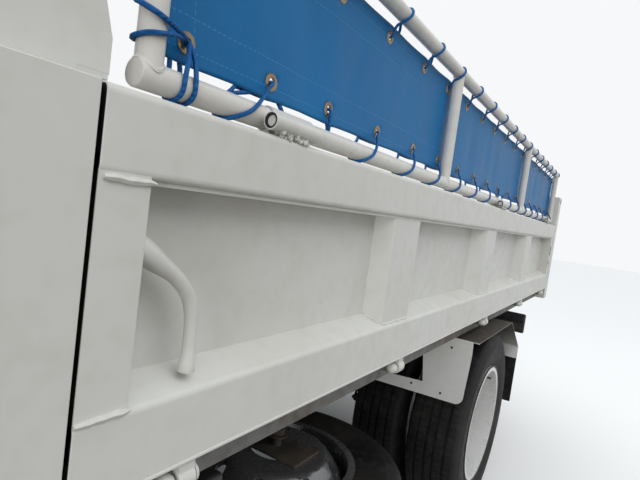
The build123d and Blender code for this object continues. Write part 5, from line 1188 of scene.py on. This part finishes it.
# Hoist: a welded ram barrel with a gland nut, and its ground and plated rod.
HOIST_PAINT = painted(
    "hoist_paint", (0.045, 0.045, 0.047), rough=0.42, dust=(0.20, 0.16, 0.11), dust_share=0.30, grain=0.2
)
HOIST_CHROME = painted(
    "hoist_chrome", (0.62, 0.62, 0.63), rough=0.12, dust=(0.25, 0.22, 0.18), dust_share=0.06, wave=0.03,
    metal=1.0, grain=0.02,
)
eased("hoist_barrel", HOIST_PAINT)
eased("hoist_rod", HOIST_CHROME, 0.002)
gland = bmesh.new()
foot = Vector((-1.400, 0, 0.620))
way = (Vector((-0.200, 0, 0.745)) - foot).normalized()
for far, near, radius in ((1.000, 0.955, 0.066), (0.128, 0.106, 0.0635)):
    tube(gland, [foot + way * near, foot + way * far], radius, 48, rings=1)
hose = [(-1.262, 0.058, 0.642), (-1.262, 0.092, 0.645), (-1.300, 0.125, 0.620), (-1.380, 0.135, 0.585)]
tube(gland, hose, 0.009, 14, rings=6)
piece("hoist_gland", gland, HOIST_PAINT, "hoist_barrel")

# Cab shell: pressed steel panels welded together and sprayed in glossy off-white, with
# rain channels over the doors, and a rubber seal pushed over the edge of each opening.
CAB_PAINT = painted(
    "cab_paint", (0.60, 0.615, 0.605), rough=0.20, dust=(0.46, 0.43, 0.37), dust_share=0.03, wave=0.05,
    grain=0.0, extra={"Coat Weight": 0.5},
)
eased("cab_body", CAB_PAINT, 0.0035, 3)
CAB_SEAL = painted(
    "cab_seal", (0.016, 0.016, 0.016), rough=0.55, dust_share=0.10, wave=0.1, grain=0.2
)


def loop(target, points, radius, sides=10, bend=0.02):
    """A seal or moulding that runs round closed points with its corners rounded."""
    line = []
    count = len(points)
    for n in range(count):
        here = Vector(points[n])
        for other in (points[n - 1], points[(n + 1) % count]):
            other = Vector(other)
            share = min(0.45, bend / max(1e-6, (other - here).length))
            line.append(here.lerp(other, share))
        line.insert(-1, here)
    tube(target, line + [line[0]], radius, sides, rings=4)


def oblong(a, b):
    """The four corners of a rectangle between two ranges, in order round it."""
    return [(a[0], b[0]), (a[1], b[0]), (a[1], b[1]), (a[0], b[1])]


def screen_x(z):
    """Where the windscreen's plane stands at a height."""
    return 2.060 + (1.935 - z) * 0.3825 / 0.745


seals = bmesh.new()
corners = oblong((-0.7375, 0.7375), (1.310, 1.875))
loop(seals, [(screen_x(z) - 0.001, y, z) for y, z in corners], 0.0085, 12, 0.05)
rear = [(0.9135, -0.56, 1.37), (0.9135, 0.56, 1.37), (0.9255, 0.56, 1.815), (0.9255, -0.56, 1.815)]
loop(seals, rear, 0.0085, 12, 0.05)
piece("window_seals", seals, CAB_SEAL, "cab", crisp=70)


# Window glass: float glass with a weak green tint and a thin film of dust.
WINDOW_GLASS, tree, shader = skin("window_glass")
shader["Transmission Weight"].default_value = 0.96
shader["IOR"].default_value = 1.45
where = shade(tree, "TexCoord", {}, "Object")
film = shade(tree, "TexNoise", {"Scale": 3, "Detail": 8, "Vector": where}, "Fac")
tree.links.new(spread(tree, film, 0.45, 0.8, 0.01, 0.12), shader["Roughness"])
tree.links.new(blended(tree, film, (0.78, 0.88, 0.84), (0.72, 0.80, 0.77)), shader["Base Color"])
eased("cab_windows", WINDOW_GLASS, 0, 1)
for side, sign in SIDES:
    eased(f"door_glass_{side}", WINDOW_GLASS, 0, 1)

# Doors: pressed skins with a swage line, a rubber-sealed window, a pull handle in a
# recess and a lock.
WINDOW = ((1.190, 1.300), (1.190, 1.810), (1.895, 1.810), (2.010, 1.350), (2.010, 1.300))
DOOR_PULL = (
    (1.225, 0.846, 1.178), (1.232, 0.8565, 1.180), (1.280, 0.8600, 1.181), (1.328, 0.8565, 1.180),
    (1.335, 0.846, 1.178),
)


def side_y(z):
    """Where the cab's side stands at a height."""
    return 0.8475 - 0.070 * max(0, z - 1.280) / 0.715


for side, sign in SIDES:
    eased(f"door_{side}", CAB_PAINT, 0.004, 3)
    trim = bmesh.new()
    edge = [(x, sign * (side_y(z) - 0.006), z) for x, z in WINDOW]
    loop(trim, edge, 0.0085, 12, 0.05)
    recess = [(x, sign * 0.8465, z) for x, z in oblong((1.215, 1.345), (1.135, 1.195))]
    loop(trim, recess, 0.0025, 8, 0.02)
    block(trim, (1.217, 1.343), span(sign, 0.8455, 0.8480), (1.137, 1.193), 0.0008, 1)
    tube(trim, sided(sign, DOOR_PULL), 0.0065, 14)
    lock = [(0, 0), (0, 0.0105), (sign * 0.0025, 0.0105), (sign * 0.0035, 0.008), (sign * 0.0035, 0)]
    turned(trim, lock, (1.250, sign * 0.8475, 1.110), "Y", 24)
    piece(f"door_trim_{side}", trim, CAB_SEAL, f"door_{side}", crisp=60)
    swage = bmesh.new()
    y = span(sign, 0.8460, 0.8500)
    block(swage, (1.135, 2.055), y, (1.240, 1.256), 0.0018, 3)
    block(swage, (1.135, 2.055), y, (0.900, 0.910), 0.0018, 3)
    piece(f"door_swage_{side}", swage, CAB_PAINT, f"door_{side}")

# Cab trim: rain channels, the grab rails and steps by the doors, side markers, wipers and
# the front panel's moulding.
# The rain channel: x, the height whose side it follows, z. The grab rail: the same, and its stand-off.
RAIN_CHANNEL = (
    (1.085, 1.30, 1.30), (1.090, 1.90, 1.902), (1.20, 1.905, 1.906), (1.93, 1.905, 1.906),
    (1.965, 1.89, 1.893), (2.105, 1.60, 1.60),
)
GRAB_RAIL = (
    (2.118, 1.36, 1.360, -0.002), (2.120, 1.36, 1.366, 0.028), (2.092, 1.45, 1.450, 0.030),
    (2.062, 1.56, 1.555, 0.028), (2.058, 1.56, 1.562, -0.002),
)
channels = bmesh.new()
for name, sign in SIDES:
    line = [(x, sign * (side_y(height) + 0.001), z) for x, height, z in RAIN_CHANNEL]
    tube(channels, line, 0.0050, 10)
    y = span(sign, 0.8460, 0.8495)
    block(channels, (2.120, 2.405), y, (1.240, 1.256), 0.0016, 3)
    block(channels, (0.925, 1.105), y, (1.240, 1.256), 0.0016, 3)
block(channels, (2.4415, 2.4450), (-0.70, 0.70), (1.030, 1.046), 0.0016, 3)
for y in (-0.36, 0.36):
    block(channels, (2.4415, 2.4445), about(y, 0.28), (0.912, 0.918), 0.0014)
piece("cab_channels", channels, CAB_PAINT, "cab")
small = bmesh.new()
for name, sign in SIDES:
    grab = [(x, sign * (side_y(height) + out), z) for x, height, z, out in GRAB_RAIL]
    tube(small, grab, 0.008, 14)
    block(small, (1.905, 2.045), span(sign, 0.700, 0.842), (0.818, 0.829))


def on_screen(y, z, out):
    """A place that stands out from the windscreen."""
    return (screen_x(z) + out, y, z)


WIPER_LEAN = 0.33
cap = [(0, 0), (0, 0.016), (0.010, 0.016), (0.016, 0.011), (0.016, 0)]
for y in (-0.52, 0.10):
    turned(small, cap, on_screen(y, 1.292, -0.002), "X", 24)
    arm = [
        on_screen(y + WIPER_LEAN * lean, z, out)
        for lean, z, out in ((0, 1.292, 0.008), (0.45, 1.42, 0.017), (0.75, 1.50, 0.013))
    ]
    tube(small, arm, 0.0048, 10)
    blade = [on_screen(y + WIPER_LEAN * lean, z, 0.006) for lean, z in ((0.30, 1.40), (1.15, 1.60))]
    tube(small, blade, 0.0058, 8, rings=1)
piece("cab_fittings", small, BLACK_PLASTIC, "cab", crisp=60)
for name, sign in SIDES:
    marker = bmesh.new()
    block(marker, (2.300, 2.375), span(sign, 0.8460, 0.8535), (1.130, 1.165), 0.005, 3)
    piece(f"side_marker_{name}", marker, LAMP_AMBER, "cab")

# Mirrors: black moulded shells on bent tubes, with a glass of its own in each.
eased("mirrors", BLACK_PLASTIC, 0.012, 4)
MIRROR_GLASS = painted(
    "mirror_glass", (0.75, 0.77, 0.78), rough=0.05, dust_share=0.04, wave=0.0, metal=1.0, grain=0.0,
)
for name, sign in SIDES:
    face = bmesh.new()
    block(face, (2.1685, 2.1705), span(sign, 0.9195, 1.0555), (1.345, 1.645), 0.0009)
    piece(f"mirror_glass_{name}", face, MIRROR_GLASS, "cab")

# Headlamps: a chromed frame round a dished lamp and an amber turn lamp, with a slatted
# black grille between the two sides.
eased("grille", BLACK_PLASTIC, 0.002)
LAMP_FRAME = painted(
    "lamp_frame", (0.55, 0.56, 0.57), rough=0.16, dust_share=0.05, wave=0.03, metal=0.95, grain=0.02,
)
dish = [
    (0.0100, 0.0), (0.0090, 0.018), (0.0100, 0.040), (0.0130, 0.058), (0.0165, 0.067), (0.0175, 0.0705),
    (0.0160, 0.0725), (0.0060, 0.0725), (0.0060, 0.0),
]
bulb = [(0.0095, 0), (0.0095, 0.010), (0.0155, 0.008), (0.0165, 0.004), (0.0165, 0)]
for name, sign in SIDES:
    surround = bmesh.new()
    ring_y = span(sign, 0.5475, 0.7975)
    block(surround, (2.4425, 2.4505), ring_y, (0.690, 0.850), 0.0035, 3)
    for low, high in ((0.5475, 0.5555), (0.7895, 0.7975), (0.7135, 0.7195)):
        block(surround, (2.4480, 2.4600), span(sign, low, high), (0.694, 0.846), 0.0025)
    for z in ((0.690, 0.698), (0.842, 0.850)):
        block(surround, (2.4480, 2.4600), ring_y, z, 0.0025)
    lamp_at = (2.4425, sign * 0.634, 0.770)
    turned(surround, dish, lamp_at, "X", 48)
    turned(surround, bulb, lamp_at, "X", 20)
    piece(f"lamp_surround_{name}", surround, LAMP_FRAME, "cab", ["headlamps"])
    amber = bmesh.new()
    block(amber, (2.4490, 2.4590), span(sign, 0.7195, 0.7895), (0.699, 0.841), 0.004, 3)
    piece(f"front_turn_lens_{name}", amber, LAMP_AMBER, "cab")

# Front bumper: pressed steel in the cab's colour, with a blank plate in the middle.
BUMPER_PAINT = painted("bumper_paint", (0.60, 0.615, 0.61), 0.28, ROAD_DUST, 0.14, 0.2, grain=0.04)
eased("front_bumper", BUMPER_PAINT, 0.004, 3)
front_plate = bmesh.new()
block(front_plate, (2.4440, 2.4665), (-0.165, 0.165), (0.494, 0.566), 0.0012, 2)
piece("front_plate", front_plate, PLATE_PAINT, "chassis")

# Seats: a steel box under the whole bench, and padded cushions and backs in grey woven
# cloth with piped seams, one seat for the driver and a double one beside it.
SEAT_CLOTH = painted(
    "seat_cloth", (0.060, 0.066, 0.076), rough=0.86, dust=(0.12, 0.125, 0.13), dust_share=0.35, wave=0.3,
    grain=0.5, extra={"Sheen Weight": 0.35},
)
for direction in "XY":
    ridged(SEAT_CLOTH, 130, direction, 0.4, 0.0006)
PIPING = painted(
    "seat_piping", (0.020, 0.021, 0.023), rough=0.55, dust_share=0.05, wave=0.1, grain=0.2
)


def cushion(name, x, y, z, grooves):
    """A crowned, sewn pad between two values on each axis, with grooves at shares of its width."""
    shape = bmesh.new()
    bmesh.ops.create_cube(shape, size=2)
    bmesh.ops.subdivide_edges(shape, edges=shape.edges, cuts=11, use_grid_fill=True)
    size = [(b - a) / 2 for a, b in (x, y, z)]
    centre = [(a + b) / 2 for a, b in (x, y, z)]
    thin = size.index(min(size))
    for vert in shape.verts:
        place = list(vert.co)
        soft = [math.copysign(abs(c) ** 0.86, c) if abs(c) > 1e-6 else 0.0 for c in place]
        flat = [n for n in range(3) if n != thin]
        crown = (1 - abs(place[flat[0]]) ** 3.2) * (1 - abs(place[flat[1]]) ** 3.2)
        pull = 1 - 0.05 * abs(place[flat[0]] * place[flat[1]]) ** 4
        groove = 1.0
        for line in grooves:
            groove -= 0.16 * math.exp(-((place[1] - line) / 0.045) ** 2)
        moved = [0.0, 0.0, 0.0]
        for n in flat:
            bulge = 1 - 0.030 * abs(place[thin]) ** 2
            moved[n] = soft[n] * pull * bulge * size[n]
        moved[thin] = place[thin] * size[thin] * (0.62 + 0.38 * crown) * groove
        vert.co = [c + m for c, m in zip(centre, moved)]
    made = piece(name, shape, SEAT_CLOTH, "cab", ["seats"], crisp=180)
    made.modifiers.clear()
    smooth = made.modifiers.new("stuffing", "SUBSURF")
    smooth.levels = 2
    smooth.render_levels = 2


plinth = bmesh.new()
block(plinth, (0.976, 1.520), (-0.696, 0.696), (0.861, 1.030), 0.012, 3)
for y in (-0.13, 0.0):
    block(plinth, (1.518, 1.523), about(y, 0.002), (0.880, 1.020), 0.001, 1)
DASH_PLASTIC = painted(
    "dash_plastic", (0.052, 0.053, 0.056), rough=0.58, dust=(0.16, 0.15, 0.13), dust_share=0.12, wave=0.05,
    grain=0.9,
)
piece("seat_plinth", plinth, DASH_PLASTIC, "cab", ["seats"])
piping = bmesh.new()
for name, y, grooves in (("driver", (-0.690, -0.150), (0.0,)), ("passenger", (-0.120, 0.690), (-0.34, 0.34))):
    cushion(f"{name}_cushion", (0.995, 1.528), y, (1.035, 1.158), grooves)
    cushion(f"{name}_back", (0.978, 1.088), y, (1.150, 1.715), grooves)
    inside = (y[0] + 0.03, y[1] - 0.03)
    loop(piping, [(x, across, 1.132) for x, across in oblong((1.03, 1.505), inside)], 0.004, 8, 0.06)
    loop(piping, [(1.066, across, z) for across, z in oblong(inside, (1.19, 1.68))], 0.004, 8, 0.06)
piece("seat_piping", piping, PIPING, "cab", crisp=80)

# Dashboard: one soft-edged moulding with a hooded instrument panel, three air vents and
# a parcel shelf, and a steering wheel on its column.
eased("dashboard", DASH_PLASTIC, 0.010, 4)
facia = bmesh.new()
block(facia, (2.075, 2.170), (-0.560, -0.200), (1.168, 1.215), 0.018, 4)
block(facia, (2.070, 2.0775), (-0.540, -0.220), (1.070, 1.150), 0.005, 3)
for y in (-0.660, -0.040, 0.060, 0.640):
    block(facia, (2.070, 2.0780), about(y, 0.048), (1.090, 1.145), 0.004, 3)
    for n in range(4):
        z = 1.098 + 0.012 * n
        block(facia, (2.066, 2.0790), about(y, 0.042), (z, z + 0.004), 0.001, 1)
block(facia, (2.070, 2.0775), (0.160, 0.560), (1.010, 1.150), 0.006, 3)
block(facia, (2.0675, 2.0725), (0.330, 0.390), (1.130, 1.142), 0.002, 2)
dial = [(0, 0), (0, 0.036), (-0.003, 0.038), (-0.006, 0.036), (-0.005, 0.0)]
for y in (-0.44, -0.32):
    turned(facia, dial, (2.0705, y, 1.110), "X", 32)
piece("dash_facia", facia, DASH_PLASTIC, "cab")
pedals = bmesh.new()
for y in (-0.52, -0.38, -0.26):
    block(pedals, (2.235, 2.250), about(y, 0.032), (0.905, 0.965), 0.004, 3)
    tube(pedals, [(2.245, y, 0.955), (2.300, y, 0.985), (2.345, y, 1.000)], 0.007, 10, rings=5)
gear = [(1.72, -0.07, 0.862), (1.725, -0.07, 0.98), (1.70, -0.07, 1.085), (1.69, -0.07, 1.14)]
tube(pedals, gear, 0.007, 12)
knob = [(0, 0), (0, 0.010), (0.008, 0.020), (0.020, 0.024), (0.034, 0.021), (0.041, 0.012), (0.042, 0)]
turned(pedals, knob, (1.689, -0.07, 1.138), "Z", 28)
boot = [
    (0, 0.052), (0.006, 0.052), (0.010, 0.040), (0.022, 0.036), (0.028, 0.026), (0.040, 0.023),
    (0.060, 0.010), (0.060, 0), (0, 0),
]
turned(pedals, boot, (1.721, -0.07, 0.861), "Z", 28)
piece("pedals", pedals, CAB_SEAL, "cab", crisp=60)
